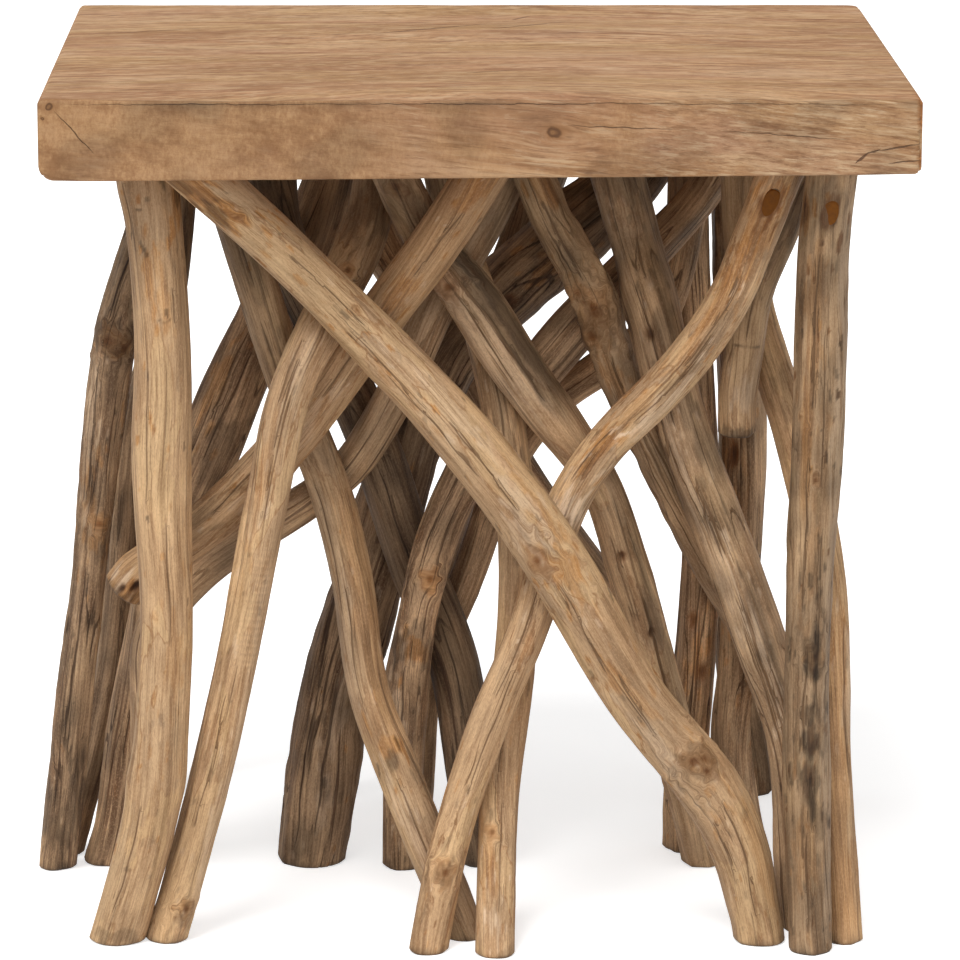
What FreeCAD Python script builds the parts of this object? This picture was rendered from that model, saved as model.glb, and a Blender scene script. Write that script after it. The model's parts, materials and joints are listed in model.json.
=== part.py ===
# Branch coffee table: a thick wooden top carried by a thicket of debarked branches.
# Every branch is cut flat where it meets the floor and the underside of the top.
# A screw driven upward through each branch head holds it to the top, and a plug hides its head.
# Where branches are bound together, a hidden pin joins them at the crossing.
# Axes: +X to the right seen from the front, +Y to the back, +Z up, floor at zero.
import FreeCAD, Part
import math
import os

Vector = FreeCAD.Vector

# Top
top_length = 450.0
top_depth = 360.0
top_thickness = 40.0
top_edge_round = 3.5
top_corner_round = 6.0

# Height of the branches between the floor and the underside of the top
leg_height = 418.0

# Thickness of each branch
front_left_post_diameter = 30.0
back_left_post_diameter = 22.0
thin_left_branch_diameter = 18.0
left_back_lean_diameter = 30.0
left_s_branch_diameter = 22.5
left_lean_branch_diameter = 21.0
big_diagonal_diameter = 31.0
golden_diagonal_diameter = 26.0
grey_diagonal_diameter = 22.0
far_diagonal_diameter = 24.0
thick_bent_branch_diameter = 39.0
long_bent_branch_diameter = 23.0
shadow_branch_diameter = 19.0
dark_right_lean_diameter = 27.0
centre_s_branch_diameter = 25.0
s_curve_branch_diameter = 22.5
bowed_branch_diameter = 21.5
upper_centre_branch_diameter = 22.0
wide_right_branch_diameter = 29.0
right_back_post_diameter = 23.0
right_mid_post_diameter = 23.0
short_right_branch_diameter = 21.0
outer_right_branch_diameter = 22.0
front_right_post_diameter = 26.0
rear_left_post_diameter = 26.0
rear_left_lean_diameter = 24.0
rear_centre_branch_diameter = 23.0
rear_right_lean_diameter = 24.0
rear_right_post_diameter = 26.0

# Room left between two branches that touch
touch_gap = 0.3

# Screws through the branch heads, and the plugs over them
screw_length = 45.0
screw_shank_diameter = 4.0
screw_head_diameter = 7.6
screw_head_height = 3.0
screw_socket_diameter = 3.2
screw_socket_depth = 1.6
plug_depth = 6.0
plug_bore_diameter = 8.0
plug_fit = 0.05
shank_clearance = 0.1
bore_overrun = 12.0
screw_drop_share = 0.8
screw_aim_share = 0.2

# Hidden pins at the bound crossings
pin_diameter = 6.0
pin_fit = 0.05
pin_end_room = 0.5
pin_reach_share = 0.55

# Section of a branch: a circle with shallow lobes, through this many points
section_points = 10
lobe_count = 3
lobe_share = 0.035
section_spacing = 18.0
route_steps_per_span = 12

# Near a flat end the sections turn level over this run, a share of the diameter
levelling_run_share = 2.5

# Cut ends reach past the end of the centre line by this share of the diameter
end_reach_share = 0.6

# Settling: branches that would meet are pushed apart, mostly in depth
settle_rounds = 90
settle_steps_per_span = 4
sideways_share = 0.35

# Routes run from the top to the floor. Each point is a share of the top's length,
# the top's depth and the leg height, measured from the middle of the top.
# Girth shares scale the diameter at each point. The side is where the screw enters,
# in degrees from +X.
branches = {
    "front_left_post": dict(
        diameter=front_left_post_diameter, side=180,
        route_shares=[(-0.383, -0.355, 1), (-0.371, -0.375, 0.885), (-0.366, -0.39, 0.785),
                      (-0.369, -0.41, 0.63), (-0.367, -0.415, 0.38), (-0.379, -0.425, 0.225),
                      (-0.429, -0.395, 0)],
        girth_shares=[1.05, 1, 0.97, 0.97, 0.93, 1.0, 0.95]),
    "back_left_post": dict(
        diameter=back_left_post_diameter, side=180,
        route_shares=[(-0.363, -0.265, 1), (-0.394, -0.255, 0.885), (-0.424, -0.235, 0.78),
                      (-0.439, -0.21, 0.67), (-0.465, -0.165, 0.45), (-0.489, -0.125, 0.25),
                      (-0.519, -0.035, 0)],
        girth_shares=[1, 1, 1, 1.05, 0.85, 0.95, 0.95]),
    "thin_left_branch": dict(
        diameter=thin_left_branch_diameter, side=90,
        route_shares=[(-0.35, -0.085, 1), (-0.366, -0.055, 0.805), (-0.397, -0.03, 0.61),
                      (-0.416, 0, 0.425), (-0.45, 0.015, 0.245), (-0.511, 0.03, 0)],
        girth_shares=[1, 1, 1, 1, 1, 1]),
    "left_back_lean": dict(
        diameter=left_back_lean_diameter, side=90,
        route_shares=[(-0.154, 0.095, 1), (-0.192, 0.085, 0.865), (-0.25, 0.02, 0.745),
                      (-0.301, -0.06, 0.635), (-0.367, -0.08, 0.44), (-0.413, -0.045, 0.225),
                      (-0.459, -0.015, 0)],
        girth_shares=[0.75, 0.85, 1.05, 1.2, 1.05, 0.95, 0.9]),
    "left_s_branch": dict(
        diameter=left_s_branch_diameter, side=180,
        route_shares=[(-0.301, -0.3, 1), (-0.281, -0.29, 0.915), (-0.252, -0.27, 0.81),
                      (-0.219, -0.24, 0.685), (-0.175, -0.205, 0.56), (-0.15, -0.235, 0.44),
                      (-0.13, -0.295, 0.305), (-0.088, -0.34, 0.19), (-0.031, -0.39, 0)],
        girth_shares=[1, 1, 1.05, 0.95, 1.02, 0.98, 1, 1.05, 1]),
    "left_lean_branch": dict(
        diameter=left_lean_branch_diameter, side=90,
        route_shares=[(-0.105, -0.11, 1), (-0.126, -0.175, 0.9), (-0.183, -0.32, 0.805),
                      (-0.217, -0.375, 0.72), (-0.248, -0.38, 0.565), (-0.288, -0.39, 0.34),
                      (-0.368, -0.395, 0)],
        girth_shares=[1.25, 1.2, 1.1, 1.02, 1, 1, 1.02]),
    "big_diagonal": dict(
        diameter=big_diagonal_diameter, side=90,
        route_shares=[(-0.321, -0.445, 1), (-0.207, -0.41, 0.88), (-0.092, -0.4, 0.75),
                      (0.001, -0.43, 0.635), (0.094, -0.435, 0.495), (0.189, -0.43, 0.315),
                      (0.286, -0.415, 0.18), (0.341, -0.4, 0)],
        girth_shares=[0.9, 0.9, 0.92, 1.03, 1.07, 1.03, 1.08, 0.9]),
    "golden_diagonal": dict(
        diameter=golden_diagonal_diameter, side=90,
        route_shares=[(0.015, -0.32, 1), (-0.037, -0.32, 0.91), (-0.095, -0.33, 0.82),
                      (-0.184, -0.3, 0.685), (-0.298, -0.29, 0.545), (-0.435, -0.27, 0.435)],
        girth_shares=[1, 1, 1, 1, 1.02, 0.85]),
    "grey_diagonal": dict(
        diameter=grey_diagonal_diameter, side=90,
        route_shares=[(0.055, -0.11, 1), (0.01, -0.14, 0.9), (-0.047, -0.17, 0.795),
                      (-0.101, -0.185, 0.665), (-0.17, -0.145, 0.545), (-0.285, -0.16, 0.465),
                      (-0.369, -0.145, 0.355), (-0.389, -0.12, 0.25), (-0.409, -0.02, 0)],
        girth_shares=[1.05, 1.05, 1, 1, 0.95, 1, 1, 0.95, 0.95]),
    "far_diagonal": dict(
        diameter=far_diagonal_diameter, side=90,
        route_shares=[(-0.172, 0.265, 1), (-0.103, 0.21, 0.8), (-0.022, 0.165, 0.66),
                      (0.06, 0.165, 0.51), (0.137, 0.19, 0.375), (0.209, 0.22, 0.25),
                      (0.307, 0.34, 0)],
        girth_shares=[1, 1, 1, 0.95, 1, 1, 1]),
    "thick_bent_branch": dict(
        diameter=thick_bent_branch_diameter, side=90,
        route_shares=[(0.242, 0.19, 1), (0.182, 0.14, 0.885), (0.082, 0.095, 0.805),
                      (-0.011, 0.05, 0.72), (-0.069, 0.015, 0.6), (-0.107, 0, 0.455),
                      (-0.164, -0.005, 0.27), (-0.189, -0.01, 0.11), (-0.203, 0, 0)],
        girth_shares=[0.95, 1, 1.05, 1, 0.95, 0.95, 0.95, 1.05, 1]),
    "long_bent_branch": dict(
        diameter=long_bent_branch_diameter, side=90,
        route_shares=[(0.325, 0.015, 1), (0.26, -0.035, 0.89), (0.174, -0.12, 0.81),
                      (0.101, -0.14, 0.73), (0.029, -0.14, 0.63), (-0.041, -0.17, 0.5),
                      (-0.068, -0.145, 0.36), (-0.085, -0.095, 0.185), (-0.087, -0.04, 0)],
        girth_shares=[0.95, 0.95, 1.05, 1.15, 1.05, 1, 1, 1, 1]),
    "shadow_branch": dict(
        diameter=shadow_branch_diameter, side=90,
        route_shares=[(0.262, 0.03, 1), (0.258, 0.015, 0.84), (0.207, -0.035, 0.715),
                      (0.115, -0.06, 0.66), (0.049, -0.07, 0.575), (0.004, -0.05, 0.435),
                      (-0.043, -0.04, 0.28), (-0.077, 0.045, 0)],
        girth_shares=[1, 1, 1, 1, 1, 1, 1, 1]),
    "dark_right_lean": dict(
        diameter=dark_right_lean_diameter, side=90,
        route_shares=[(-0.273, 0.035, 1), (-0.247, 0.005, 0.88), (-0.191, -0.07, 0.75),
                      (-0.132, -0.095, 0.61), (-0.08, -0.09, 0.435), (-0.031, -0.105, 0.3),
                      (-0.006, -0.085, 0.14), (0.01, -0.02, 0)],
        girth_shares=[0.9, 0.95, 1, 1.05, 1, 1, 1, 0.95]),
    "centre_s_branch": dict(
        diameter=centre_s_branch_diameter, side=90,
        route_shares=[(-0.109, -0.27, 1), (-0.059, -0.24, 0.885), (0.015, -0.235, 0.78),
                      (0.08, -0.245, 0.68), (0.15, -0.28, 0.59), (0.196, -0.24, 0.435),
                      (0.234, -0.165, 0.255), (0.286, -0.025, 0)],
        girth_shares=[0.9, 0.95, 1.15, 1.05, 0.9, 0.95, 0.95, 0.95]),
    "s_curve_branch": dict(
        diameter=s_curve_branch_diameter, side=-90,
        route_shares=[(0.35, -0.395, 1), (0.323, -0.395, 0.93), (0.288, -0.395, 0.83),
                      (0.221, -0.365, 0.72), (0.145, -0.35, 0.635), (0.104, -0.35, 0.565),
                      (0.061, -0.365, 0.41), (0.007, -0.39, 0.27), (-0.034, -0.415, 0.135),
                      (-0.06, -0.45, 0)],
        girth_shares=[1.05, 1, 1, 1.02, 1, 1, 0.95, 1.05, 0.93, 0.9]),
    "bowed_branch": dict(
        diameter=bowed_branch_diameter, side=90,
        route_shares=[(-0.05, -0.11, 1), (-0.017, -0.12, 0.85), (0.009, -0.155, 0.765),
                      (0.031, -0.21, 0.655), (0.048, -0.255, 0.49), (0.043, -0.305, 0.345),
                      (0.026, -0.355, 0.195), (0.02, -0.465, 0)],
        girth_shares=[1, 1, 1.1, 1.05, 1, 1, 0.97, 1]),
    "upper_centre_branch": dict(
        diameter=upper_centre_branch_diameter, side=90,
        route_shares=[(0.055, -0.22, 1), (0.093, -0.215, 0.895), (0.14, -0.215, 0.815),
                      (0.164, -0.22, 0.725), (0.21, -0.235, 0.615), (0.272, -0.185, 0.475),
                      (0.347, -0.095, 0.31), (0.423, 0.145, 0)],
        girth_shares=[1.02, 1, 1.05, 1, 1, 1, 0.95, 0.95]),
    "wide_right_branch": dict(
        diameter=wide_right_branch_diameter, side=90,
        route_shares=[(0.156, -0.16, 1), (0.191, -0.18, 0.845), (0.21, -0.275, 0.77),
                      (0.249, -0.29, 0.645), (0.295, -0.27, 0.495), (0.335, -0.28, 0.375),
                      (0.372, -0.295, 0.26), (0.389, -0.365, 0)],
        girth_shares=[1.03, 1, 1, 0.95, 1, 1, 0.9, 0.85]),
    "right_back_post": dict(
        diameter=right_back_post_diameter, side=90,
        route_shares=[(0.259, 0.115, 1), (0.264, 0.095, 0.815), (0.272, 0.03, 0.625),
                      (0.284, 0, 0.43), (0.276, 0, 0.3), (0.267, 0.015, 0.16), (0.264, 0.045, 0)],
        girth_shares=[1, 1, 0.95, 1, 1, 1, 0.95]),
    "right_mid_post": dict(
        diameter=right_mid_post_diameter, side=90,
        route_shares=[(0.321, 0.125, 1), (0.325, 0.105, 0.825), (0.334, 0, 0.59),
                      (0.324, -0.03, 0.415), (0.331, -0.04, 0.295), (0.319, -0.035, 0.17),
                      (0.35, 0.01, 0)],
        girth_shares=[1, 1, 1, 1, 1, 1, 0.95]),
    "short_right_branch": dict(
        diameter=short_right_branch_diameter, side=0,
        route_shares=[(0.384, -0.28, 1), (0.35, -0.29, 0.9), (0.322, -0.295, 0.825),
                      (0.312, -0.295, 0.75), (0.295, -0.295, 0.64)],
        girth_shares=[1, 1, 1, 1, 0.95]),
    "outer_right_branch": dict(
        diameter=outer_right_branch_diameter, side=0,
        route_shares=[(0.314, -0.17, 1), (0.325, -0.185, 0.805), (0.373, -0.28, 0.64),
                      (0.409, -0.34, 0.47), (0.42, -0.36, 0.235), (0.434, -0.415, 0)],
        girth_shares=[1, 1, 1, 1, 0.95, 0.85]),
    "front_right_post": dict(
        diameter=front_right_post_diameter, side=-90,
        route_shares=[(0.402, -0.43, 1), (0.397, -0.42, 0.91), (0.393, -0.42, 0.705),
                      (0.386, -0.43, 0.45), (0.385, -0.445, 0.19), (0.392, -0.455, 0)],
        girth_shares=[1.05, 1, 1.02, 0.92, 0.98, 0.95]),
    "rear_left_post": dict(
        diameter=rear_left_post_diameter, side=180,
        route_shares=[(-0.384, 0.36, 1), (-0.394, 0.36, 0.565), (-0.401, 0.36, 0.28),
                      (-0.408, 0.355, 0)],
        girth_shares=[1, 1, 0.95, 1]),
    "rear_left_lean": dict(
        diameter=rear_left_lean_diameter, side=-90,
        route_shares=[(0.004, 0.355, 1), (-0.012, 0.335, 0.735), (-0.05, 0.31, 0.57),
                      (-0.101, 0.305, 0.405), (-0.163, 0.32, 0.17), (-0.194, 0.345, 0)],
        girth_shares=[1, 1, 0.95, 1, 1.05, 1]),
    "rear_centre_branch": dict(
        diameter=rear_centre_branch_diameter, side=-90,
        route_shares=[(0.115, 0.33, 1), (0.075, 0.31, 0.79), (0.029, 0.29, 0.675),
                      (0.011, 0.28, 0.535), (-0.04, 0.29, 0.37), (-0.071, 0.31, 0.185),
                      (-0.081, 0.345, 0)],
        girth_shares=[1, 1, 1, 0.95, 1, 1, 1]),
    "rear_right_lean": dict(
        diameter=rear_right_lean_diameter, side=-90,
        route_shares=[(0.336, 0.35, 1), (0.351, 0.34, 0.565), (0.347, 0.345, 0.335),
                      (0.349, 0.355, 0)],
        girth_shares=[1, 0.95, 1, 1]),
    "rear_right_post": dict(
        diameter=rear_right_post_diameter, side=0,
        route_shares=[(0.448, 0.355, 1), (0.445, 0.35, 0.565), (0.441, 0.35, 0.275),
                      (0.44, 0.35, 0)],
        girth_shares=[1, 1, 0.95, 1]),
}

# Crossings that are bound: the two branches touch there and a hidden pin joins them
bound_crossings = [
    ("big_diagonal", "left_lean_branch"),
    ("big_diagonal", "s_curve_branch"),
    ("left_lean_branch", "golden_diagonal"),
    ("golden_diagonal", "centre_s_branch"),
    ("s_curve_branch", "bowed_branch"),
    ("s_curve_branch", "centre_s_branch"),
    ("s_curve_branch", "wide_right_branch"),
    ("long_bent_branch", "wide_right_branch"),
    ("grey_diagonal", "left_s_branch"),
    ("dark_right_lean", "thick_bent_branch"),
]


def smooth_route(points, steps):
    """Hermite line through the points, with its place along them; tangents from the neighbours."""
    runs = [(b - a).Length for a, b in zip(points, points[1:])]
    slopes = [(b - a) * (1 / run) for a, b, run in zip(points, points[1:], runs)]
    tangents = [slopes[0]]
    for before, after, run_before, run_after in zip(slopes, slopes[1:], runs, runs[1:]):
        tangents.append((before * run_after + after * run_before) * (1 / (run_before + run_after)))
    tangents.append(slopes[-1])
    if len(points) > 2:
        tangents[0] = slopes[0] * 1.5 - tangents[1] * 0.5
        tangents[-1] = slopes[-1] * 1.5 - tangents[-2] * 0.5
    line = []
    for index, run in enumerate(runs):
        for step in range(steps):
            s = step / steps
            place = (points[index] * (2 * s ** 3 - 3 * s ** 2 + 1)
                     + tangents[index] * ((s ** 3 - 2 * s ** 2 + s) * run)
                     + points[index + 1] * (-2 * s ** 3 + 3 * s ** 2)
                     + tangents[index + 1] * ((s ** 3 - s ** 2) * run))
            line.append((index + s, place))
    line.append((len(points) - 1.0, Vector(points[-1])))
    return line


def girth_at(branch, place):
    """Radius of a branch at a place along its route, in spans."""
    shares = branch["girth_shares"]
    index = min(int(place), len(shares) - 2)
    s = place - index
    eased = s * s * (3 - 2 * s)
    share = shares[index] * (1 - eased) + shares[index + 1] * eased
    return branch["diameter"] * share / 2


def extended_route(branch, steps):
    """Smooth route carried on past its flat ends, as far as a slanted end reaches."""
    line = smooth_route(branch["points"], steps)
    run = branch["diameter"] * end_reach_share
    first, second = line[0][1], line[1][1]
    last, before_last = line[-1][1], line[-2][1]
    head = (0.0, first + (first - second).normalize() * run)
    foot = (line[-1][0], last + (last - before_last).normalize() * run)
    if branch["cut_at_floor"]:
        return [head] + line + [foot]
    return [head] + line


def nearest_on_segments(p1, q1, p2, q2):
    """Shares along two segments where they come nearest to each other."""
    d1, d2, r = q1 - p1, q2 - p2, p1 - p2
    a, e, f = d1.dot(d1), d2.dot(d2), d2.dot(r)
    c, b = d1.dot(r), d1.dot(d2)
    spread = a * e - b * b
    s = min(max((b * f - c * e) / spread, 0.0), 1.0) if spread > a * e * 1e-9 else 0.5
    t = (b * s + f) / e
    if t < 0:
        t = 0.0
        s = min(max(-c / a, 0.0), 1.0)
    elif t > 1:
        t = 1.0
        s = min(max((b - c) / a, 0.0), 1.0)
    return s, t


def nearest_places(first, second):
    """Nearest approach of two branches: the gap between their centre lines and where it is."""
    best = None
    for (place_a, a0), (next_a, a1) in zip(first["line"], first["line"][1:]):
        for (place_b, b0), (next_b, b1) in zip(second["line"], second["line"][1:]):
            if abs(a0.z - b0.z) > (a1 - a0).Length + (b1 - b0).Length + first["diameter"] * 2:
                continue
            s, t = nearest_on_segments(a0, a1, b0, b1)
            point_a = a0 + (a1 - a0) * s
            point_b = b0 + (b1 - b0) * t
            room = ((point_b - point_a).Length - girth_at(first, place_a + (next_a - place_a) * s)
                    - girth_at(second, place_b + (next_b - place_b) * t))
            if best is None or room < best[0]:
                best = (room, place_a + (next_a - place_a) * s, place_b + (next_b - place_b) * t,
                        point_a, point_b)
    return best


def push(branch, place, shift):
    """Move the two route points on either side of a place, keeping cut ends on their planes."""
    points = branch["points"]
    index = min(int(place), len(points) - 2)
    after = place - index
    before = 1 - after
    weight = before * before + after * after
    for point_index, share in ((index, before / weight), (index + 1, after / weight)):
        point = points[point_index]
        at_plane = point_index == 0 or (point_index == len(points) - 1 and branch["cut_at_floor"])
        point.x += shift.x * share
        point.y += shift.y * share
        if not at_plane:
            point.z += shift.z * share


def part_pair(first, second, room, place_a, place_b, point_a, point_b, wanted):
    """Push two branches apart, or draw a bound pair together, until the room is as wanted."""
    gap = point_b - point_a
    if gap.Length < touch_gap:
        gap = Vector(0, touch_gap, 0)
    gap.normalize()
    along = Vector(gap.x * sideways_share, gap.y, gap.z * sideways_share)
    shift = along * ((wanted - room) / (2 * along.dot(gap)))
    push(first, place_a, shift * -1)
    push(second, place_b, shift)


def settle():
    """Let the branches find their places: none overlap, and each bound crossing touches."""
    lobe_room = 1 + lobe_share
    bound = [tuple(sorted(pair)) for pair in bound_crossings]
    names = sorted(branches)
    pairs = [(a, b) for index, a in enumerate(names) for b in names[index + 1:]]
    reach = {}
    for turn in range(settle_rounds):
        for name in names:
            branches[name]["line"] = extended_route(branches[name], settle_steps_per_span)
        worst = 0.0
        for a, b in pairs:
            if turn % 10 and reach.get((a, b), 0.0) > branches[a]["diameter"]:
                continue
            first, second = branches[a], branches[b]
            found = nearest_places(first, second)
            if found is None:
                reach[(a, b)] = leg_height
                continue
            room = found[0]
            reach[(a, b)] = room
            lobes = (first["diameter"] + second["diameter"]) * lobe_share / 2
            wanted = touch_gap + lobes
            if room < wanted or (a, b) in bound:
                part_pair(first, second, *found, wanted)
                worst = max(worst, wanted - room)
        if worst < touch_gap / 2:
            break
    print("settled in", turn + 1, "rounds, deepest overlap left", round(worst, 2), "mm")


def level_share(run, diameter):
    """How far a section is turned level, by its run from a flat end: 1 at the end, then less."""
    left = max(1 - run / (diameter * levelling_run_share), 0)
    return left * left * (3 - 2 * left)


def even_route(branch):
    """Route at even steps of about the section spacing, with the place along it."""
    line = smooth_route(branch["points"], route_steps_per_span)
    runs = [0.0]
    for (place_a, a), (place_b, b) in zip(line, line[1:]):
        runs.append(runs[-1] + (b - a).Length)
    count = max(round(runs[-1] / section_spacing), len(branch["points"]))
    even = []
    index = 0
    for step in range(count + 1):
        run = runs[-1] * step / count
        while index < len(runs) - 2 and runs[index + 1] < run:
            index += 1
        share = (run - runs[index]) / (runs[index + 1] - runs[index])
        (place_a, a), (place_b, b) = line[index], line[index + 1]
        even.append((place_a + (place_b - place_a) * share, a + (b - a) * share))
    return even


def branch_solid(branch):
    """Loft of lobed rings along the route; the rings at the top and the floor lie flat."""
    line = even_route(branch)
    top_centre = line[0][1]
    foot_centre = line[-1][1]
    rings = []
    for index, (place, centre) in enumerate(line):
        behind = line[max(index - 1, 0)][1]
        ahead = line[min(index + 1, len(line) - 1)][1]
        along = (ahead - behind).normalize()
        sideways = (Vector(0, 1, 0) - along * along.y).normalize()
        third = along.cross(sideways)
        radius = girth_at(branch, place)
        level = level_share((centre - top_centre).Length, branch["diameter"])
        if branch["cut_at_floor"]:
            level = max(level, level_share((centre - foot_centre).Length, branch["diameter"]))
        ring = []
        for step in range(section_points):
            angle = 2 * math.pi * step / section_points
            lobed = radius * (1 + lobe_share * math.cos(lobe_count * angle + branch["lobe_turn"]))
            offset = sideways * (lobed * math.cos(angle)) + third * (lobed * math.sin(angle))
            ring.append(centre + offset - along * (level * offset.z / along.z))
        curve = Part.BSplineCurve()
        curve.interpolate(Points=ring, PeriodicFlag=True)
        rings.append(Part.Wire(curve.toShape()))
    solid = Part.makeLoft(rings, True, False).Solids[0]
    if solid.Volume < 0:
        solid.reverse()
    return solid


def at_height(branch, height):
    """Place along a branch and point on its centre line at a height."""
    line = smooth_route(branch["points"], route_steps_per_span)
    for (place_a, a), (place_b, b) in zip(line, line[1:]):
        if b.z <= height <= a.z:
            share = (a.z - height) / (a.z - b.z)
            return place_a + (place_b - place_a) * share, a + (b - a) * share
    return line[-1]


def screw_axis(branch):
    """Where a head screw enters the branch's side, and its direction up into the top."""
    side = math.radians(branch["side"])
    outward = Vector(math.cos(side), math.sin(side), 0)
    place, centre = at_height(branch, leg_height - branch["diameter"] * screw_drop_share)
    radius = girth_at(branch, place)
    entry = centre + outward * radius
    aim = Vector(branch["points"][0]) - outward * (radius * screw_aim_share)
    return entry, (aim - entry).normalize()


def rod(start, along, length, diameter):
    """Round bar from a point along a direction."""
    return Part.makeCylinder(diameter / 2, length, start, along)


def head_screw(entry, along):
    """Countersunk screw with a round socket, its head just below the plug."""
    seat = entry + along * plug_depth
    head = rod(seat, along, screw_head_height, screw_head_diameter)
    shank = rod(seat, along, screw_length, screw_shank_diameter)
    socket = rod(seat, along, screw_socket_depth, screw_socket_diameter)
    return head.fuse(shank).cut(socket).removeSplitter()


def make_top():
    """Solid slab with worn corners and edges."""
    origin = Vector(-top_length / 2, -top_depth / 2, leg_height)
    slab = Part.makeBox(top_length, top_depth, top_thickness, origin)
    upright = [edge for edge in slab.Edges if abs(edge.tangentAt(edge.FirstParameter).z) > 0.5]
    slab = slab.makeFillet(top_corner_round, upright)
    faces = [face for face in slab.Faces if abs(face.normalAt(0, 0).z) > 0.5]
    rim = [edge for face in faces for edge in face.Edges]
    return slab.makeFillet(top_edge_round, rim)


def build():
    """Make every piece of the table, by node name."""
    for index, (name, branch) in enumerate(branches.items()):
        branch["points"] = [Vector(x * top_length, y * top_depth, z * leg_height)
                            for x, y, z in branch["route_shares"]]
        branch["cut_at_floor"] = branch["route_shares"][-1][2] == 0
        branch["lobe_turn"] = index
    settle()
    pieces = {name: branch_solid(branch) for name, branch in branches.items()}
    top = make_top()

    screws = []
    plugs = []
    for name, branch in branches.items():
        entry, along = screw_axis(branch)
        whole = pieces[name]
        bore = rod(entry - along * bore_overrun, along,
                   bore_overrun + plug_depth + screw_head_height, plug_bore_diameter)
        shank_hole = rod(entry, along, plug_depth + screw_length + pin_end_room,
                         screw_shank_diameter + 2 * shank_clearance)
        pieces[name] = whole.cut(bore.fuse(shank_hole))
        top = top.cut(shank_hole)
        screws.append(head_screw(entry, along))
        plug = rod(entry - along * bore_overrun, along, bore_overrun + plug_depth,
                   plug_bore_diameter - 2 * plug_fit)
        plugs.append(max(plug.common(whole).Solids, key=lambda solid: solid.Volume))

    pins = []
    for name_a, name_b in bound_crossings:
        first, second = branches[name_a], branches[name_b]
        for branch in (first, second):
            branch["line"] = smooth_route(branch["points"], settle_steps_per_span)
        room, place_a, place_b, point_a, point_b = nearest_places(first, second)
        across = (point_b - point_a).normalize()
        reach_a = girth_at(first, place_a) * pin_reach_share
        reach_b = girth_at(second, place_b) * pin_reach_share
        meeting = point_a + across * (girth_at(first, place_a) + room / 2)
        pin = rod(meeting - across * reach_a, across, reach_a + reach_b, pin_diameter)
        hole = rod(meeting - across * (reach_a + pin_end_room), across,
                   reach_a + reach_b + 2 * pin_end_room, pin_diameter + 2 * pin_fit)
        pieces[name_a] = pieces[name_a].cut(hole)
        pieces[name_b] = pieces[name_b].cut(hole)
        pins.append(pin)
        print("bound", name_a, name_b, "room", round(room, 2))

    pieces["table_top"] = top
    pieces["head_screws"] = Part.makeCompound(screws)
    pieces["filler_plugs"] = Part.makeCompound(plugs)
    pieces["crossing_pins"] = Part.makeCompound(pins)
    return pieces


def main():
    """Put the origin under the middle of the whole outline and write one file per node."""
    pieces = build()
    outline = Part.makeCompound(list(pieces.values())).optimalBoundingBox(False, False)
    shift = Vector(-(outline.XMin + outline.XMax) / 2, -(outline.YMin + outline.YMax) / 2, 0)
    print("outline", round(outline.XLength, 1), round(outline.YLength, 1), round(outline.ZLength, 1))
    print("top centre lies at", round(shift.x, 2), round(shift.y, 2))
    os.makedirs("parts", exist_ok=True)
    for name, shape in pieces.items():
        shape.translate(shift)
        shape.exportStep("parts/" + name + ".step")
        print(name, len(shape.Solids), "solids,", round(shape.Volume), "mm3, valid", shape.isValid())


main()
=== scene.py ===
import json
import math
import bpy
import numpy as np
from mathutils import Matrix, Vector


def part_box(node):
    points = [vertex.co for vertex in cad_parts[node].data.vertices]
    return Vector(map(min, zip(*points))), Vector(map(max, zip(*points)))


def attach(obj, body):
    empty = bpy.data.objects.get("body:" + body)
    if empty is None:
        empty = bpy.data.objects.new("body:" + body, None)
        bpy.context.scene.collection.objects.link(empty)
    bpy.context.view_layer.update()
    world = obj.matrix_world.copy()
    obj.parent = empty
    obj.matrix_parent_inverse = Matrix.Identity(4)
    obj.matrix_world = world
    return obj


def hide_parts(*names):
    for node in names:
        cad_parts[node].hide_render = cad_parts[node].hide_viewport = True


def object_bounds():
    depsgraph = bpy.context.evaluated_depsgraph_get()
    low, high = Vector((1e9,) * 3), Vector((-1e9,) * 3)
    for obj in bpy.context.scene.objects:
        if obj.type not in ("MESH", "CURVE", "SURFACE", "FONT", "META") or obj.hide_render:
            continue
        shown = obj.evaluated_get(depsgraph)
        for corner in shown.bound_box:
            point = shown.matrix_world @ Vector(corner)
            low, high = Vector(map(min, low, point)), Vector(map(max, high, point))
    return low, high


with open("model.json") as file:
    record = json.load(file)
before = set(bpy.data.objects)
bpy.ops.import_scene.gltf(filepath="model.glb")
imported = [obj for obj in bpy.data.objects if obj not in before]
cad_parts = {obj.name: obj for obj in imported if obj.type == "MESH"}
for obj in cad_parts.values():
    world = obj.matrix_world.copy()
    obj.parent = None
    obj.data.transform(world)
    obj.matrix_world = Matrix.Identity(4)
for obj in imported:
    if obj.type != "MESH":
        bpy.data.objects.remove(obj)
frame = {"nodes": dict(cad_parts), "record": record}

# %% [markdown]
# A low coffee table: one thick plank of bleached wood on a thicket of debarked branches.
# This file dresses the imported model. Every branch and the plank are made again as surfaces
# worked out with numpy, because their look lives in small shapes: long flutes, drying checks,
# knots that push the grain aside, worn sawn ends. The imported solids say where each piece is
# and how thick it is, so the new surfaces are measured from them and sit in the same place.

cad_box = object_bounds()
mm = 0.001
floor_z = cad_box[0][2]
print("packed box", [round(v, 4) for v in cad_box[0]], [round(v, 4) for v in cad_box[1]])

# %% [markdown]
# Camera. The photograph is a long-lens view from in front and a little above. The place, the
# turn and the lens come from fitting the four top corners and the outer feet. The camera is
# given as a distance in front of the table's middle, a height and three small angles.

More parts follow.
